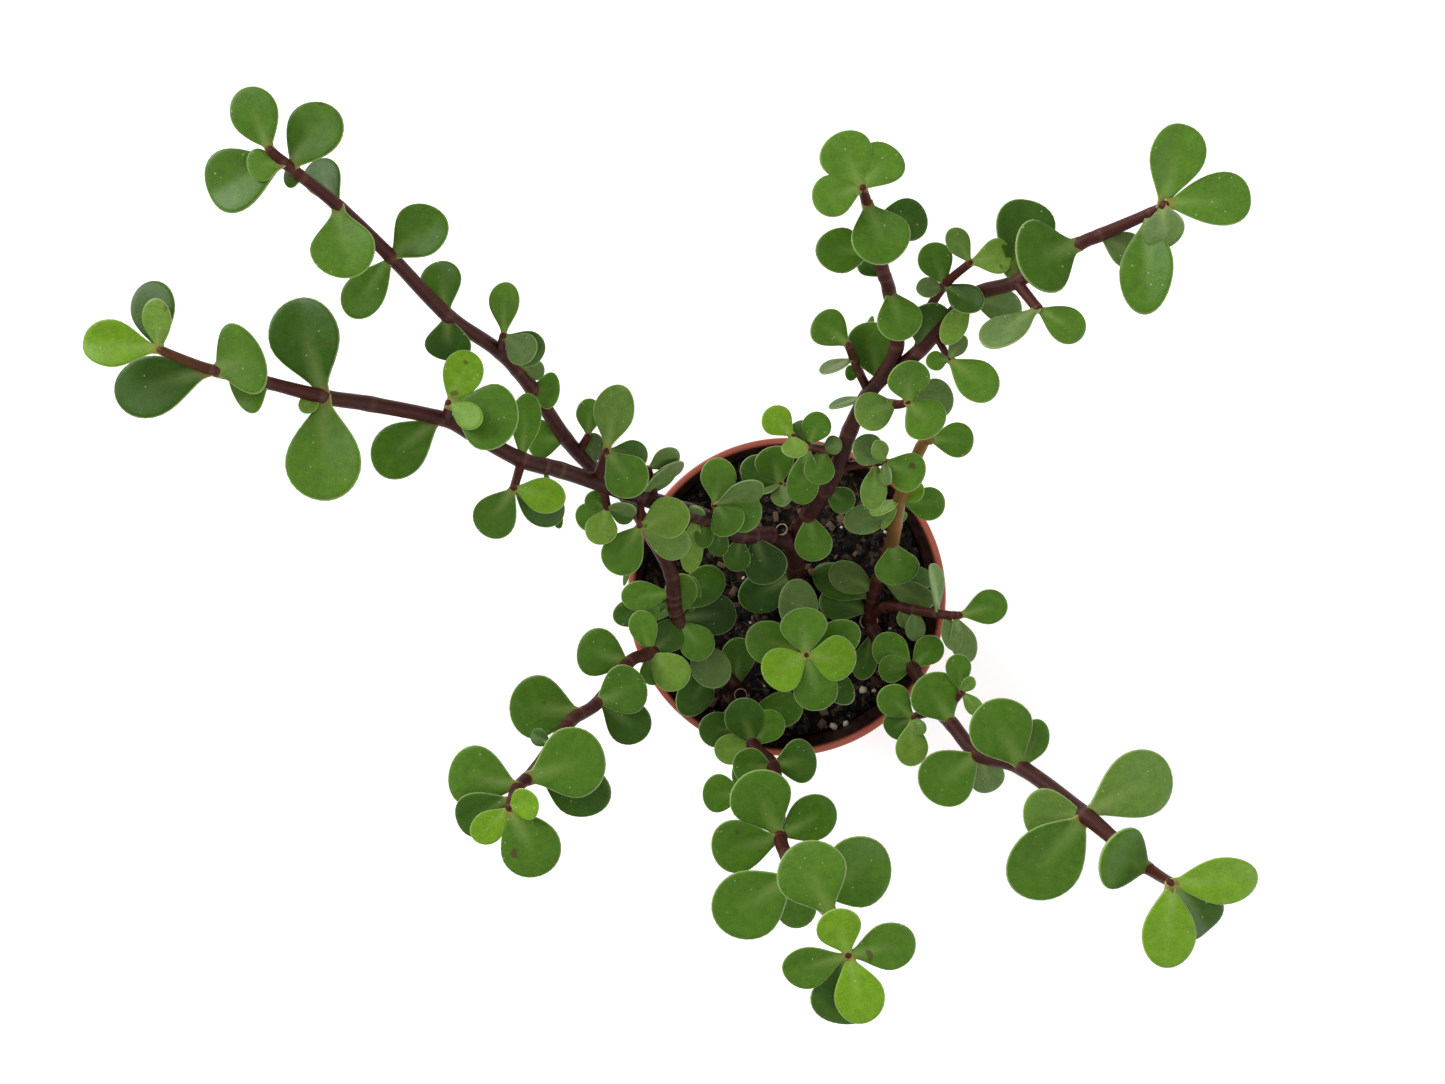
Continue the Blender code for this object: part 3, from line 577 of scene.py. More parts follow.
def measured(path, leaf):
    """The row of a seen leaf, in mm and degrees, worked out from its tip in the photo."""
    foot = along(path, leaf.node)[0]
    slope = math.tan(math.radians(leaf.rise))
    height = foot.z
    for _ in range(TIP_ROUNDS):
        reach = (point_in_photo(leaf.tip, height) - foot).xy.length
        height = (height + foot.z + reach * slope) / 2
    reach = (point_in_photo(leaf.tip, height) - foot).xy
    heading = math.degrees(math.atan2(reach.y, reach.x))
    length = reach.length / math.cos(math.radians(leaf.rise))
    scale = (CAMERA_PLACE[2] - (foot.z + height) / 2) / FOCAL_PIXELS
    width = leaf.width * scale / max(NARROWEST_VIEW, abs(math.cos(math.radians(leaf.roll))))
    return leaf.node, heading, leaf.rise, length / MM, width / MM, leaf.roll, leaf.tint


def leaf_frame(path, row):
    """Where a leaf grows, and how it is turned there."""
    return (
        Matrix.Translation(along(path, row[0])[0])
        @ Matrix.Rotation(math.radians(row[1]), 4, "Z")
        @ Matrix.Rotation(math.radians(-row[2]), 4, "Y")
        @ Matrix.Rotation(math.radians(row[5]), 4, "X")
    )


ball = blank("ball", bmesh.ops.create_uvsphere, u_segments=LEAF_AROUND, v_segments=LEAF_ACROSS, radius=1)


def grow_leaf(shape, path, row, bend, draw):
    """One leaf: a flattened ball drawn out to the leaf's outline, cupped, bent and folded along its base."""
    length, width = row[3] * MM, row[4] * MM
    thickness = min(max(width * LEAF_THICKNESS, LEAF_THINNEST), LEAF_THICKEST)
    waves = [(draw.uniform(0, math.tau), draw.uniform(-1, 1) * LEAF_RIPPLE) for _ in range(3)]
    fold = LEAF_FOLD * draw.uniform(0.4, 1)
    crease = LEAF_CREASE * draw.random() ** 2
    widest, shoulder = draw.uniform(*LEAF_WIDEST), draw.uniform(*LEAF_SHOULDER)
    blade = shape.verts.layers.float_vector["blade"]
    tint = shape.verts.layers.float_color["leaf_tint"]
    rim = shape.verts.layers.float["rim"]
    colour = (*linear(TINTS[row[6]])[:3], draw.random())
    turned_to = leaf_frame(path, row)
    for point in stamp(shape, ball):
        spread = min(1, point.co.xy.length)
        around = math.atan2(point.co.y, point.co.x)
        face = point.co.z
        ripples = (size * math.sin(turns * around + start) for turns, (start, size) in enumerate(waves, 2))
        ripple = 1 + sum(ripples)
        outline = (1 + math.cos(around)) / 2
        station = LEAF_CENTRE + (outline - LEAF_CENTRE) * spread * ripple
        side = math.copysign(half_width(outline, widest, shoulder), around) * spread * ripple
        if abs(math.sin(around)) < 1e-4:
            side = 0
        lift = LEAF_CUP * width * (2 * side) ** 2 + bend * length * station**2
        lift += fold * width * abs(side) * max(0, 1 - station) ** 3
        lift += crease * width * math.hypot(2 * side, LEAF_CREASE_ROUNDING)
        half_thickness = math.copysign(abs(face) ** LEAF_FULLNESS, face) * thickness / 2
        point[blade] = (station, 2 * side, face)
        point[tint] = colour
        point[rim] = spread
        point.co = turned_to @ Vector((length * station - LEAF_SINK, width * side, lift + half_thickness))


def new_shape(vectors=(), colours=(), numbers=()):
    """An empty shape whose points carry these named values."""
    shape = bmesh.new()
    for name in vectors:
        shape.verts.layers.float_vector.new(name)
    for name in colours:
        shape.verts.layers.float_color.new(name)
    for name in numbers:
        shape.verts.layers.float.new(name)
    return shape


def grow_cutting(node, shoots, cuts=(), ripening={}):
    """The stems and leaves of one cutting. The shoots numbered in cuts end in a healed cut. Those in ripening
    turn olive-brown between two shares of their length, as far as the third number says."""
    stems = new_shape(vectors=["bark"], colours=["marks"])
    leaves = new_shape(vectors=["blade"], colours=["leaf_tint"], numbers=["rim"])
    bends = random.Random(LEAF_SEED)
    draw = random.Random(node)
    for number, shoot in enumerate(shoots):
        grow_stem(stems, shoot, number in cuts, ripening.get(number, (0, 1, 0)))
        for leaf in shoot.leaves:
            row = measured(shoot.path, leaf) if isinstance(leaf, Seen) else leaf
            grow_leaf(leaves, shoot.path, row, bends.uniform(-1, 1) * LEAF_BEND, draw)
    return (
        finished(f"{node}_stems", sealed(stems), stem_bark, "leaf_and_stem", node),
        finished(f"{node}_leaves", leaves, leaf_skin, "leaf_and_stem", node),
    )


# Stem bark: smooth and satin purple-brown on young wood, rougher and browner on the trunk, with fine streaks
# along it, a paler line at each node and a pale ring round a dark middle where a branch was cut off.
stem_bark, tree, shader = new_material("purple_brown_bark", IOR=1.45, Specular_IOR_Level=0.22)
bark = add(tree, "ShaderNodeAttribute", {}, attribute_name="bark").outputs["Vector"]
marks = add(tree, "ShaderNodeAttribute", {}, attribute_name="marks")
split = add(tree, "ShaderNodeSeparateColor", {"Color": marks.outputs["Color"]})
streaks = add(
    tree, "ShaderNodeVectorMath", {0: bark, 1: (1, 1, 0.2)}, operation="MULTIPLY"
).outputs["Vector"]
streaks = cloudy(tree, streaks, 0.5 * MM, 5)
young = blended(tree, streaks, linear("34120f"), linear("552419"))
old = blended(tree, streaks, linear("1d0908"), linear("3c1514"))
wood = blended(tree, split.outputs["Green"], young, old)
ripe = blended(tree, streaks, linear("5f4019"), linear("83602c"))
wood = blended(tree, marks.outputs["Alpha"], wood, ripe)
flakes = cloudy(tree, bark, 1.1 * MM, 7, roughness=0.75)
flaking = ranged(tree, flakes, (0.53, 0.68), (0, 0.6))
flaking = worked_out(tree, "MULTIPLY", flaking, split.outputs["Green"])
wood = blended(tree, flaking, wood, linear("5f3a2d"))
line = worked_out(tree, "MULTIPLY", split.outputs["Red"], 0.22)
wood = blended(tree, line, wood, linear("8a6455"))
healed = add(tree, "ShaderNodeValToRGB", {"Fac": split.outputs["Blue"]})
healed.color_ramp.elements[0].color = linear("b39c88")
healed.color_ramp.elements[1].color = linear("1c1412")
healed.color_ramp.elements[0].position = 0.6
healed.color_ramp.elements[1].position = 0.74
is_healed = worked_out(tree, "GREATER_THAN", split.outputs["Blue"], 0.05)
wood = blended(tree, is_healed, wood, healed.outputs["Color"])
tree.links.new(wood, shader.inputs["Base Color"])
tree.links.new(ranged(tree, streaks, (0, 1), (0.32, 0.6)), shader.inputs["Roughness"])
roughen(tree, shader, flakes, 0.6, 0.25 * MM)

# Leaf skin: fleshy and satin, faintly mottled, with a painted highlight along the fold, orange at its foot,
# greyer underneath, with a thin pale edge that light passes through, tiny white specks and a brown scar here
# and there.
leaf_skin, tree, shader = new_material(
    "fleshy_leaf", IOR=1.42, Specular_IOR_Level=0.25, Subsurface_Weight=0.12, Subsurface_Scale=1 * MM,
    Subsurface_Radius=(0.5, 1, 0.2),
)
place = add(tree, "ShaderNodeTexCoord", {}).outputs["Object"]
blade = add(tree, "ShaderNodeAttribute", {}, attribute_name="blade").outputs["Vector"]
tinted = add(tree, "ShaderNodeAttribute", {}, attribute_name="leaf_tint")
rim = add(tree, "ShaderNodeAttribute", {}, attribute_name="rim").outputs["Fac"]
own = tinted.outputs["Alpha"]
split = add(tree, "ShaderNodeSeparateXYZ", {"Vector": blade})
station, side, face = (split.outputs[axis] for axis in "XYZ")
mottle = cloudy(tree, place, 2.2 * MM, 6, roughness=0.6)
lightness = ranged(tree, mottle, (0.3, 0.7), (0.84, 1.14))
own_value = ranged(tree, own, (0, 1), (0.92, 1.08))
lightness = worked_out(tree, "MULTIPLY", lightness, own_value)
pores = cloudy(tree, place, 0.45 * MM, 4, roughness=0.6)
pore_value = ranged(tree, pores, (0.3, 0.7), (0.84, 1.16))
lightness = worked_out(tree, "MULTIPLY", lightness, pore_value)
skin = add(
    tree, "ShaderNodeHueSaturation", {"Color": tinted.outputs["Color"], "Value": lightness}
).outputs["Color"]
# Painted highlight: the leaf is paler along the middle of its fold near the foot.
spread = worked_out(tree, "ABSOLUTE", side)
beside = ranged(tree, spread, (0.0, 0.3), (1, 0))
near_foot = ranged(tree, station, (0.15, 0.75), (1, 0))
painted_fold_highlight = worked_out(tree, "MULTIPLY", beside, near_foot)
painted_fold_highlight = worked_out(tree, "MULTIPLY", painted_fold_highlight, 0.3)
skin = blended(tree, painted_fold_highlight, skin, linear("a3b56a"))
foot = ranged(tree, station, (0.03, 0.15), (0.6, 0))
skin = blended(tree, foot, skin, linear("9a6a34"))
under = ranged(tree, face, (-0.05, -0.3), (0, 0.5))
skin = blended(tree, under, skin, linear("8ea077"))
edge = ranged(tree, rim, (0.955, 0.995), (0, 0.55))
skin = blended(tree, edge, skin, linear("aebf80"))
specks = add(tree, "ShaderNodeTexVoronoi", {"Vector": place, "Scale": 1 / (2.8 * MM)}).outputs["Distance"]
specks = worked_out(tree, "LESS_THAN", specks, 0.07)
specks = worked_out(tree, "MULTIPLY", specks, 0.4)
skin = blended(tree, specks, skin, linear("c9d2b4"))
scars = cloudy(tree, place, 5 * MM, 2, roughness=0.4)
scars = ranged(tree, scars, (0.73, 0.77), (0, 0.7))
skin = blended(tree, scars, skin, linear("4a3a1e"))
tree.links.new(skin, shader.inputs["Base Color"])
tree.links.new(ranged(tree, pores, (0, 1), (0.3, 0.52)), shader.inputs["Roughness"])
roughen(tree, shader, pores, 0.45, 0.14 * MM)


# The cutting at the back: the oldest, whose trunk forks above a healed cut. One stem arches over the left of
# the rim and the other climbs to the back and forks again.
BACK_CUTTING = (
    # trunk
    Shoot(
        (
            (3.5, 6.9, -28, 6.5), (3.5, 6.9, -9, 6.2), (2.8, 11, 0, 5.8), (2, 17, 8, 5.6),
        ),
        (
            Seen(1.1, (739, 604), 42, 0, 0, "deep"), (1, -92, 5, 14, 13, 0, "deep"),
        ),
    ),
    # cut stub in the fork
    Shoot(
        (
            (2, 17, 7, 4.6), (-0.6, 19.8, 12, 4.3), (-2.5, 21.9, 16, 3.8),
        ),
        (),
    ),
    # long stem to the left
    Shoot(
        (
            (2, 17, 8, 5.4), (-6.3, 20.3, 16, 5.2), (-15.8, 20.3, 24, 5.2), (-27.9, 25.9, 33, 5.2),
            (-39.4, 29.4, 42, 5), (-50.2, 32.8, 50, 4.8), (-65.4, 37.7, 62, 4.5), (-74.3, 39.8, 70, 4.3),
            (-86, 46.3, 79, 4), (-92.1, 49.2, 85, 3.8), (-106.5, 51.5, 95, 3.8), (-114.8, 52.2, 102, 3.6),
            (-124.9, 54.4, 110, 2.9), (-134.4, 56.2, 117, 2.5), (-143.3, 59.8, 122, 2),
        ),
        (
            Seen(11, (297, 296), 70, 5, 0, "dark"), Seen(11, (328, 503), 76, 5, 0, "bright"),
            Seen(11.1, (299, 413), 19, 20, 0, "lime"), Seen(9, (374, 472), 54, 0, 0, "mid_dark"),
            Seen(12.9, (264, 350), 76, 0, 0, "bright"), Seen(12, (232, 398), 50, 12, 0, "bright"),
            Seen(13, (111, 398), 62, 0, 0, "dark"), (14, 174, 5, 16.5, 10.4, 0, "vivid"),
            Seen(14, (155, 296), 30, 15, 0, "lime"), Seen(14, (149, 278), 46, -5, 0, "dark"),
            Seen(7, (529, 391), 31, 5, 0, "mid"), (4.5, 43, 10, 14, 9, 65, "grey"),
            Seen(3.3, (706, 512), 15, 15, 70, "grey"), Seen(3.1, (689, 575), 23, -20, 0, "lime"),
            Seen(1.6, (774, 584), 44, 0, 0, "deep"), (2.5, -97, -15, 10, 6.5, 0, "dark"),
            Seen(2.0, (735, 573), 28, -10, 0, "dark"), Seen(1.6, (749, 575), 26, -15, 0, "dark"),
            Seen(2.9, (704, 550), 20, -5, 0, "mid_dark"), Seen(6.4, (560, 531), 16, -15, 0, "dark"),
        ),
    ),
    Shoot(
        (
            (-56.2, 35.4, 55, 3), (-52.7, 42.9, 62, 2.6),
        ),
        (
            Seen(1, (621, 383), 41, 5, 0, "pale"), (1, -52, 5, 15.5, 12.5, 0, "mid"),
            (1, -8, -15, 12, 8.2, 0, "dark"),
        ),
    ),
    Shoot(
        (
            (-54.8, 34.3, 53.6, 2.6), (-54, 27.8, 48, 2.2),
        ),
        (
            (1, 151, 10, 7.5, 6.3, 0, "mid_dark"), (1, -153, 0, 10.2, 8.6, 0, "mid"),
            (1, -105, 10, 11.5, 9.4, 0, "lime"), (1, 0, 25, 9.5, 8, 60, "grey"),
            (1, -21, -10, 8.5, 6, 0, "dark"),
        ),
    ),
    Shoot(
        (
            (-44.8, 31, 46, 2.6), (-44.7, 22.7, 47, 2.3),
        ),
        (
            (1, -122, 0, 16.2, 12.1, 0, "mid"), Seen(1, (691, 511), 42, 5, 0, "lime"),
            Seen(1, (690, 552), 36, -15, 0, "pale"), Seen(0.9, (623, 588), 8, -10, 0, "grey"),
        ),
    ),
    Shoot(
        (
            (-74.3, 39.8, 70, 2.6), (-75.7, 32.2, 74, 2.2),
        ),
        (
            (1, -123, 0, 15.3, 11.5, 0, "mid"), Seen(1, (567, 501), 36, 5, 0, "vivid"),
            (1, -35, -25, 16, 10.5, 0, "dark"),
        ),
    ),
    Shoot(
        (
            (-91, 48.7, 84, 2.6), (-88.4, 52.4, 90, 2.3),
        ),
        (
            Seen(1, (474, 350), 41, 12, 0, "vivid"), Seen(1, (482, 425), 27, 30, 0, "vivid"),
            Seen(1, (519, 428), 68, 5, 0, "mid"),
        ),
    ),
    Shoot(
        (
            (-40.5, 29.8, 43, 2.4), (-42.3, 39.1, 49, 2),
        ),
        (
            Seen(1, (680, 450), 21, 8, 40, "grey"), (0.7, 22, 3, 11, 8, 66, "silver"),
        ),
    ),
    Shoot(
        (
            (-23, 23.6, 29.5, 2.6), (-23.4, 29.1, 36, 2.3),
        ),
        (
            (1, 83, 5, 14.5, 10.8, 0, "bright"), (1, -53, 15, 11.3, 10.8, 0, "mid"),
            Seen(1, (763, 518), 40, 0, 0, "mid"), Seen(1, (764, 482), 24, 20, 45, "grey"),
        ),
    ),
    # low shoot between the two stems
    Shoot(
        (
            (6.5, 28.5, 22, 2.6), (1, 33, 28, 2.4), (-4.1, 35.4, 34, 2.2),
        ),
        (
            (2, 105, 10, 12, 12, 0, "mid_dark"), Seen(2, (740, 463), 34, 5, 0, "dark"),
            (2, -155, 15, 8, 7, 60, "grey"), (2, -85, 30, 8.5, 6.5, 0, "grey"),
        ),
    ),
    # stem to the back, up to its fork
    Shoot(
        (
            (2, 17, 8, 5.4), (5.4, 26.5, 20, 5.4), (9.7, 33.8, 30, 5.3), (12.6, 40.6, 40, 5),
            (14.7, 49.6, 52, 4.6), (17.6, 57.1, 64, 4.3), (20.2, 60.7, 72, 4),
        ),
        (
            Seen(1.05, (816, 563), 38, 0, 0, "mid"), Seen(2, (855, 508), 27, 0, 0, "dark"),
            Seen(6, (862, 321), 46, 5, 0, "mid_dark"), (5, -163, 0, 11, 7, 65, "mid_dark"),
        ),
    ),
    Shoot(
        (
            (12.2, 44.1, 44, 2.8), (3, 45.3, 50, 2.4), (-1.5, 47.7, 54, 2.1),
        ),
        (
            (2, 137, 5, 11, 9, 0, "vivid"), (2, -85, 40, 9, 7.6, 0, "lime"),
            Seen(1, (823, 411), 30, 10, 0, "mid"), (0.55, 19, 30, 7, 5.6, 0, "grey"),
            Seen(0.5, (815, 486), 31, 0, 0, "mid"), Seen(1, (800, 506), 33, -30, 0, "mid"),
            Seen(1, (793, 422), 26, -15, 0, "dark"),
        ),
    ),
    Shoot(
        (
            (13.5, 40, 40, 2.8), (20.6, 40.8, 46, 2.5), (24.6, 40.8, 50, 2.2),
        ),
        (
            Seen(2, (853, 440), 33, 12, 0, "grey"), Seen(2, (874, 439), 19, 45, 0, "pale"),
            Seen(1.4, (871, 512), 27, 0, 0, "pale"), Seen(2, (925, 480), 42, 5, 0, "bright"),
            (2, -80, 20, 7.5, 6, 60, "grey"),
        ),
    ),
    Shoot(
        (
            (17.9, 58.9, 66, 2.6), (14.5, 63.4, 72, 2.3), (10.9, 68.5, 80, 2),
        ),
        (
            (2, 140, 0, 11.5, 10, 0, "mid"), (1.4, -153, 10, 10.4, 8, 60, "olive"),
            Seen(1, (873, 314), 10, 0, 0, "grey"), Seen(0.9, (843, 374), 16, -10, 0, "mid_dark"),
        ),
    ),
    Shoot(
        (
            (17.6, 57.1, 64, 2.6), (24.1, 54.2, 73, 2.4), (26.6, 54.2, 78, 2.1),
        ),
        (
            (1, -161, 10, 12, 10.4, 0, "pale"), (2, 97, 36, 12.5, 11, 0, "bright"),
            (2, 6, -3, 12.5, 10.5, 0, "grey"), (2, -48, 5, 11.7, 11.8, 0, "bright"),
        ),
    ),
    # left arm of the fork
    Shoot(
        (
            (20.2, 60.7, 72, 4), (22.8, 67.8, 84, 3.6), (18.9, 78.8, 96, 3.3), (16.4, 82.6, 102, 3.1),
            (11.2, 94, 114, 2.4), (9.5, 95.9, 119, 2.1),
        ),
        (
            (2, -73, 5, 13.5, 11.1, 0, "mid"), Seen(4, (889, 266), 60, 10, 0, "mid"),
            (3.7, 4, -8, 14, 10, 0, "dark"), Seen(3.3, (813, 251), 46, 0, 0, "mid_dark"),
            (2.7, 141, -10, 8, 6, 0, "dark"), Seen(5, (834, 132), 55, 5, 0, "bright"),
            Seen(5, (897, 146), 47, 5, 0, "bright"), (5, -163, 5, 12, 9.5, 0, "bright"),
        ),
    ),
    # right arm of the fork
    Shoot(
        (
            (20.2, 60.7, 72, 4), (28.1, 66, 84, 3.7), (38, 76.5, 98, 3.6), (46.6, 78.4, 106, 3.4),
            (58.6, 84.8, 114, 3.1), (62.8, 86.4, 116, 3), (72, 89.8, 121, 2.4), (74.1, 90.7, 124, 2),
        ),
        (
            Seen(1.05, (938, 302), 46, 48, 0, "dark"), Seen(2.0, (943, 346), 26, 0, 0, "lime"),
            (3, 81, 0, 20, 14, 0, "dark"), (4, -158, 15, 16.5, 17.2, 0, "mid_dark"),
            Seen(3.1, (1004, 262), 18, 0, 0, "olive"), (5, -27, -8, 13, 8, 0, "grey"),
            Seen(6, (1145, 316), 45, 0, 30, "mid"), Seen(6.8, (1169, 250), 29, 0, 50, "grey"),
            (6.5, 79, 12, 17.9, 12, 0, "bright"), Seen(7, (1252, 199), 54, -2, 0, "bright"),
            (2, -14, -12, 14, 8.5, 0, "grey"),
        ),
    ),
    Shoot(
        (
            (28.1, 66, 84, 2.6), (29, 74, 91, 2.4), (32, 79.6, 98, 2.2), (36.2, 82.8, 106, 1.9),
        ),
        (
            (2, 115, 5, 11, 8.6, 0, "mid"), Seen(3, (949, 227), 25, 15, 0, "pale"),
            (3, 11, 5, 10.2, 8.3, 0, "lime"), Seen(1.9, (914, 289), 21, 15, 0, "grey"),
            Seen(2, (982, 313), 32, 32, 0, "dark"),
        ),
    ),
    Shoot(
        (
            (47, 78, 106.5, 2.6), (50.2, 70.8, 112, 2.3),
        ),
        (
            Seen(1, (984, 351), 34, 10, 45, "grey"), Seen(1, (1085, 338), 37, 5, 0, "bright"),
        ),
    ),
    Shoot(
        (
            (31.5, 69.5, 89, 2), (33.8, 62.5, 94, 1.6),
        ),
        (
            Seen(1, (997, 398), 42, 5, 0, "bright"), (1, 59, 35, 7.5, 4.4, 0, "grey"),
            (1, -169, 20, 7, 4.9, 0, "mid"),
        ),
    ),
)
grow_cutting("cutting_back", BACK_CUTTING, cuts=[1], ripening={2: (0.9, 0.96, 0.25)})


# The cutting at the left: its trunk was cut off just above the soil, and one stem reaches to the back left,
# one to the front left and one hangs over the front of the rim.
LEFT_CUTTING = (
    Shoot(
        (
            (-15.5, -32.5, -28, 6.5), (-15.5, -32.5, -10, 6.2), (-15.2, -32.7, -4, 4.2),
        ),
        (),
    ),
    # long stem to the back left
    Shoot(
        (
            (-15.5, -32.5, -9, 5.2), (-24, -22, 0, 5), (-32, -13.5, 8, 4.8), (-36, -4, 14, 4.6),
            (-37, 8, 22, 4.5), (-42, 19, 30, 4.4), (-50, 32, 38, 4.3), (-59, 40, 46, 4.2),
            (-65, 47, 54, 4.1), (-72, 59, 68, 4), (-78.5, 67, 78, 3.8), (-89, 74, 90, 3.6),
            (-99, 85, 102, 3.3), (-108, 94, 112, 3), (-117, 101, 121, 2.4), (-119, 103, 123, 2),
        ),
        (
            (0.9, -128, 12, 20, 11.5, 0, "dark"), Seen(0.2, (740, 636), 34, 5, 0, "dark"),
            Seen(2.6, (689, 573), 33, 5, 0, "mid"), Seen(2.7, (710, 658), 36, 10, 0, "mid"),
            Seen(2, (726, 686), 39, 5, 0, "grey"), Seen(2.8, (738, 612), 42, -10, 0, "deep"),
            (3.1, 38, -12, 20, 12, 0, "dark"), Seen(2.8, (684, 572), 33, 20, 0, "bright"),
            Seen(3.5, (619, 597), 30, 0, 0, "mid"), Seen(3.3, (611, 618), 30, -8, 0, "dark"),
            Seen(3, (640, 604), 27, 20, 0, "mid"), Seen(7, (595, 432), 27, 40, 0, "grey"),
            Seen(8, (525, 440), 40, 5, 0, "mid"), Seen(9, (562, 393), 37, 0, 0, "mid"),
            Seen(9.5, (545, 364), 17, 10, 60, "grey"), Seen(11, (438, 259), 42, -5, 0, "mid_dark"),
            Seen(11, (450, 363), 47, -15, 0, "dark"), Seen(12, (348, 318), 42, -4, 0, "mid"),
            (12, 38, 3, 16.5, 12.8, 0, "mid"), (13, -81, 0, 17, 14.9, 0, "bright"),
            Seen(13, (314, 161), 39, -20, 0, "dark"), Seen(13.8, (333, 104), 57, 3, 0, "mid"),
            Seen(14, (245, 169), 34, 12, 0, "bright"), (14, -157, -2, 18.5, 14.2, 0, "mid"),
            Seen(15, (243, 85), 49, 10, 0, "mid"), Seen(13.6, (281, 178), 22, -5, 0, "mid_dark"),
        ),
    ),
    Shoot(
        (
            (-78.5, 67, 78, 2.6), (-76.3, 70, 84, 2.2),
        ),
        (
            (1, 87, 5, 14, 7.8, 0, "bright"), (1, -36, 10, 10.5, 8.6, 0, "grey"),
            (1, -28, -20, 11.5, 9.5, 0, "dark"),
        ),
    ),
    Shoot(
        (
            (-62, 43.5, 50, 2.6), (-58.8, 47.7, 54, 2.1),
        ),
        (
            (1, 86, 5, 11, 7.5, 0, "mid"),
        ),
    ),
    # stem to the front left
    Shoot(
        (
            (-31.7, -13.5, 8, 4), (-39.5, -15.3, 12, 4), (-45.4, -17.2, 18, 4), (-50.2, -19.1, 24, 3.9),
            (-58.1, -29.3, 38, 3.8), (-65, -33.6, 46, 3.7), (-72.6, -44.4, 60, 3.6),
            (-75.8, -47.3, 68, 3.3), (-76.7, -51.4, 74, 2.6),
        ),
        (
            (1.7, 105, 10, 14.5, 9.1, 0, "bright"), (1.7, 42, -15, 13.5, 10.6, 0, "dark"),
            (1.8, -39, 5, 15.8, 11.9, 0, "lime"), Seen(1.8, (656, 687), 26, 0, 0, "mid"),
            (3, 160, 0, 17, 15.2, 0, "mid_dark"), Seen(4, (646, 679), 51, 0, 0, "mid"),
            Seen(3.9, (648, 737), 45, -8, 0, "dark"), (4.6, 170, 0, 21.5, 18.5, 0, "mid_dark"),
            (5.5, 150, -20, 8, 5, 0, "dark"), Seen(6.4, (606, 750), 72, 0, 0, "mid"),
            Seen(6, (611, 803), 54, -5, 0, "dark"), (7, 164, 0, 19.5, 16.5, 0, "mid"),
            (7.5, -156, -6, 17, 12, 0, "dark"), Seen(8, (540, 799), 34, 30, 0, "vivid"),
            (8, -139, 5, 12.8, 8.6, 0, "vivid"), (8, -61, 0, 20, 16, 0, "mid"),
        ),
    ),
    # stem over the front rim
    Shoot(
        (
            (-15.5, -32.5, -9, 4.8), (-11.4, -46.9, 8, 4.5), (-5.8, -51.2, 20, 4.3), (-5, -57.4, 40, 4.1),
            (-5.2, -63.8, 55, 3.9), (-3.9, -67.1, 62, 3.7), (-0.9, -71.5, 74, 3.4), (6.5, -75.1, 90, 3),
            (8.6, -79.9, 100, 2.3),
        ),
        (
            Seen(0.1, (742, 738), 42, -5, 0, "dark"), Seen(0.5, (804, 704), 36, 0, 0, "mid_dark"),
            Seen(0.7, (697, 730), 36, 0, 0, "dark"), Seen(1, (713, 753), 31, 0, 0, "lime"),
            (1, 50, 5, 13.8, 10.3, 0, "mid"), Seen(2, (818, 757), 45, 0, 0, "dark"),
            Seen(2.1, (732, 784), 42, 0, 0, "mid_dark"), Seen(4, (747, 770), 63, 5, 0, "mid"),
            Seen(4, (836, 804), 47, 0, 0, "mid_dark"), (4.1, -171, 0, 20, 15, 0, "mid"),
            Seen(6.9, (797, 842), 72, -5, 0, "bright"), (5.7, -148, -3, 25, 18.5, 0, "mid"),
            (6.2, 22, -8, 24, 18.5, 0, "mid"), Seen(8, (832, 907), 46, 15, 0, "vivid"),
            (8, 14, 0, 17, 11.4, 0, "mid"), (8, -166, 0, 16.5, 10, 0, "mid"),
            (8, -90, -10, 18.5, 18, 0, "dark"), Seen(8, (867, 1025), 51, 3, 0, "vivid"),
            Seen(5.1, (800, 930), 42, -10, 0, "mid"), Seen(1, (738, 697), 41, 5, 0, "dark"),
            Seen(2.1, (731, 762), 37, 0, 0, "mid_dark"),
        ),
    ),
    Shoot(
        (
            (-5.1, -55.5, 34, 2.6), (-14.6, -56.4, 38, 2),
        ),
        (
            Seen(1, (701, 791), 39, 0, 0, "mid"),
        ),
    ),
)
grow_cutting("cutting_left", LEFT_CUTTING, cuts=[0])


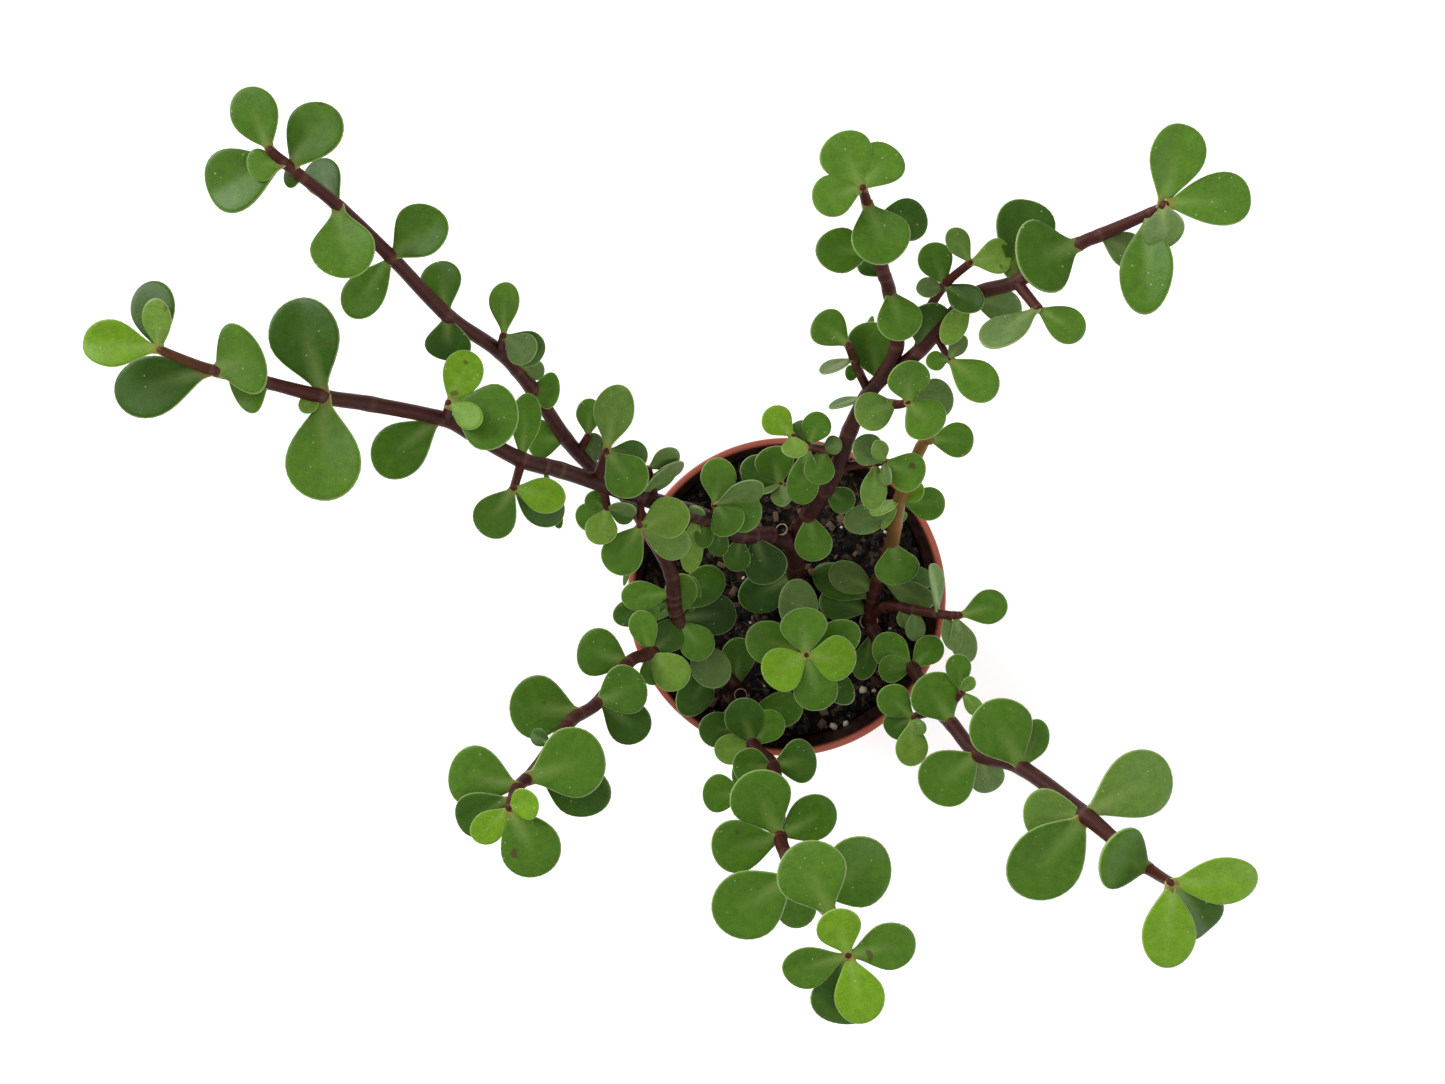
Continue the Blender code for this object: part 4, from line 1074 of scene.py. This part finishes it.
# The cutting at the right: from a cut trunk, an olive-brown stem stands at the back, a long one leans
# over the front right of the rim and a short one lies to the right.
RIGHT_CUTTING = (
    Shoot(
        (
            (28, -8.5, -28, 6.4), (28, -8.5, -8, 6),
        ),
        (),
    ),
    # olive-brown stem to the back
    Shoot(
        (
            (28, -8.5, -9, 4.6), (28.7, 2.4, 2, 4.2), (32.1, 18.4, 16, 4.3), (32, 30.7, 32, 4.1),
            (35.4, 45.2, 48, 3.4), (37.2, 46.8, 52, 2.6),
        ),
        (
            (0.4, 164, 0, 18, 12, 0, "dark"), Seen(1, (828, 568), 32, 5, 0, "olive"),
            Seen(1.3, (936, 604), 26, 5, 30, "grey"), (2, -80, 0, 14.5, 14.2, 0, "mid"),
            Seen(2.4, (907, 511), 9, 10, 0, "pale"), Seen(2.7, (842, 524), 30, 0, 0, "grey"),
            Seen(3, (947, 507), 34, 3, 0, "mid"), (3, -153, 15, 11, 8, 60, "vivid"),
            Seen(3, (924, 484), 22, 30, 0, "vivid"), (5, 0, 0, 13, 10, 0, "mid"),
            Seen(3, (881, 531), 9, -10, 0, "pale"), Seen(0.8, (812, 570), 36, -10, 0, "dark"),
            Seen(1.5, (936, 583), 22, -15, 0, "dark"),
        ),
    ),
    # long stem to the front right
    Shoot(
        (
            (28, -8.5, -9, 4.8), (33.7, -20.5, 2, 4.6), (39.5, -22.2, 10, 4.6), (42.9, -30.7, 22, 4.5),
            (47.2, -36.2, 34, 4.4), (52.6, -43.1, 44, 4.4), (61.5, -44.3, 58, 4.3),
            (72.8, -52.7, 76, 4.4), (77, -56.5, 86, 3.6), (81.8, -60.8, 95, 3), (83.4, -61.4, 104, 2.4),
        ),
        (
            Seen(0.3, (859, 681), 25, 5, 0, "dark"), (2, 48, 5, 13.3, 9.6, 0, "mid"),
            Seen(2, (874, 637), 36, 0, 0, "mid"), (2, 180, 12, 12, 9, 0, "mid"),
            (4, 120, 0, 17.5, 15.5, 0, "mid"), (5, -144, 0, 20, 17, 0, "mid"),
            Seen(5, (993, 793), 36, -20, 0, "grey"), (6, 119, 0, 21.5, 18.2, 0, "mid"),
            Seen(6, (1043, 718), 30, -15, 0, "mid"), Seen(7, (1021, 815), 56, -15, 0, "pale"),
            Seen(7, (1015, 894), 72, 0, 0, "mid"), (7, 31, 0, 26, 17.5, 0, "pale"),
            Seen(9, (1102, 850), 66, 20, 0, "mid"), (10, 3, 0, 21.1, 11.2, 0, "vivid"),
            (10, -93, 0, 20.3, 12.9, 0, "vivid"), (10, -50, -10, 17, 13, 0, "dark"),
        ),
    ),
    Shoot(
        (
            (44.5, -33, 27, 2.8), (35.9, -34.4, 32, 2.3),
        ),
        (
            (1, 139, 5, 13.5, 10.2, 0, "mid"), (1, -149, -15, 10, 9, 0, "dark"),
            (1, -93, 3, 15.2, 9.9, 0, "lime"), (1, -60, 25, 6.5, 4.2, 0, "pale"),
        ),
    ),
    Shoot(
        (
            (45.5, -33.8, 30, 2.6), (49.7, -26.3, 36, 2.2),
        ),
        (
            (1, 100, 5, 12, 7.7, 0, "mid"), (1, 60, 25, 6.5, 4.1, 0, "pale"),
            Seen(1, (982, 716), 17, 0, 0, "pale"),
        ),
    ),
    # short stem to the right
    Shoot(
        (
            (28, -8.5, -9, 3.4), (32, -3, 2, 3.3), (40.4, -3.7, 10, 3.1), (48.4, -4.7, 18, 2.8),
            (52.2, -4.5, 22, 2.3),
        ),
        (
            Seen(1.6, (905, 630), 15, 10, 0, "grey"), (2, -90, 0, 10.5, 6.5, 0, "grey"),
            Seen(2.7, (930, 563), 19, 15, 60, "pale"), Seen(3, (956, 652), 21, 5, 0, "grey"),
            Seen(3.5, (970, 664), 27, -12, 0, "grey"), Seen(4, (1009, 601), 35, 5, 0, "mid"),
        ),
    ),
)
grow_cutting("cutting_right", RIGHT_CUTTING, cuts=[0], ripening={1: (0.3, 0.5, 1)})


# The young cutting in the middle: one short upright stem with a crown of large bright leaves.
CENTRE_CUTTING = (
    Shoot(
        (
            (3.5, -15.5, -28, 5), (3.5, -15.5, -10, 4.6), (3.6, -15.6, -2, 4.2), (3.8, -15.8, 8, 3.8),
            (4, -16, 18, 3.3), (4, -16, 30, 2.6),
        ),
        (
            (5, 95, 3, 15, 14.2, 0, "bright"), Seen(5, (858, 660), 46, 3, 0, "vivid"),
            (5, -151, 3, 15, 13.6, 0, "vivid"), Seen(5, (822, 712), 45, 0, 0, "mid"),
            Seen(4.3, (861, 628), 38, 5, 0, "mid"), (4, 166, 0, 19, 14, 0, "mid"),
            Seen(3.7, (853, 704), 30, 0, 0, "dark"), Seen(3, (797, 577), 40, -12, 0, "grey"),
        ),
    ),
)
grow_cutting("cutting_centre", CENTRE_CUTTING)


# The studio: a pale floor under the pot, soft light from all round, a softbox on each side and the camera
# looking straight down, as in the photo.
SENSOR_WIDTH = 36
SOFTBOX_SIZE = 0.8
LIT_SPOT = (0, 0, 0.1)
FLOOR_SIZE = 3

floor_shape = bmesh.new()
bmesh.ops.create_grid(floor_shape, x_segments=1, y_segments=1, size=FLOOR_SIZE)
paper, tree, shader = new_material(
    "pale_paper", Base_Color=linear("fafafa"), Roughness=0.9, Emission_Color=linear("ffffff"),
    Emission_Strength=0.25,
)
floor_mesh = bpy.data.meshes.new("studio_floor")
floor_shape.to_mesh(floor_mesh)
floor_shape.free()
floor_mesh.materials.append(paper)
floor = bpy.data.objects.new("studio_floor", floor_mesh)
bpy.context.scene.collection.objects.link(floor)

world = bpy.data.worlds.new("studio")
world.use_nodes = True
world.node_tree.nodes["Background"].inputs["Color"].default_value = linear("ffffff")
world.node_tree.nodes["Background"].inputs["Strength"].default_value = 0.6
bpy.context.scene.world = world


def softbox(name, size, power, place, target):
    """A square area light facing its target."""
    light = bpy.data.lights.new(name, "AREA")
    light.size = size
    light.energy = power
    lamp = bpy.data.objects.new(name, light)
    lamp.location = place
    lamp.rotation_euler = (Vector(target) - Vector(place)).to_track_quat("-Z", "Y").to_euler()
    bpy.context.scene.collection.objects.link(lamp)


softbox("softbox_left", SOFTBOX_SIZE, 20, (-1.1, 0.75, 0.8), LIT_SPOT)
softbox("softbox_right", SOFTBOX_SIZE, 8, (1.1, -0.5, 0.8), LIT_SPOT)

lens = bpy.data.cameras.new("camera")
lens.sensor_width = SENSOR_WIDTH
lens.lens = FOCAL_PIXELS / PHOTO_SIZE[0] * SENSOR_WIDTH
lens.clip_start = 0.01
camera = bpy.data.objects.new("camera", lens)
camera.location = CAMERA_PLACE
bpy.context.scene.collection.objects.link(camera)
bpy.context.scene.camera = camera
bpy.context.scene.view_settings.view_transform = "Standard"
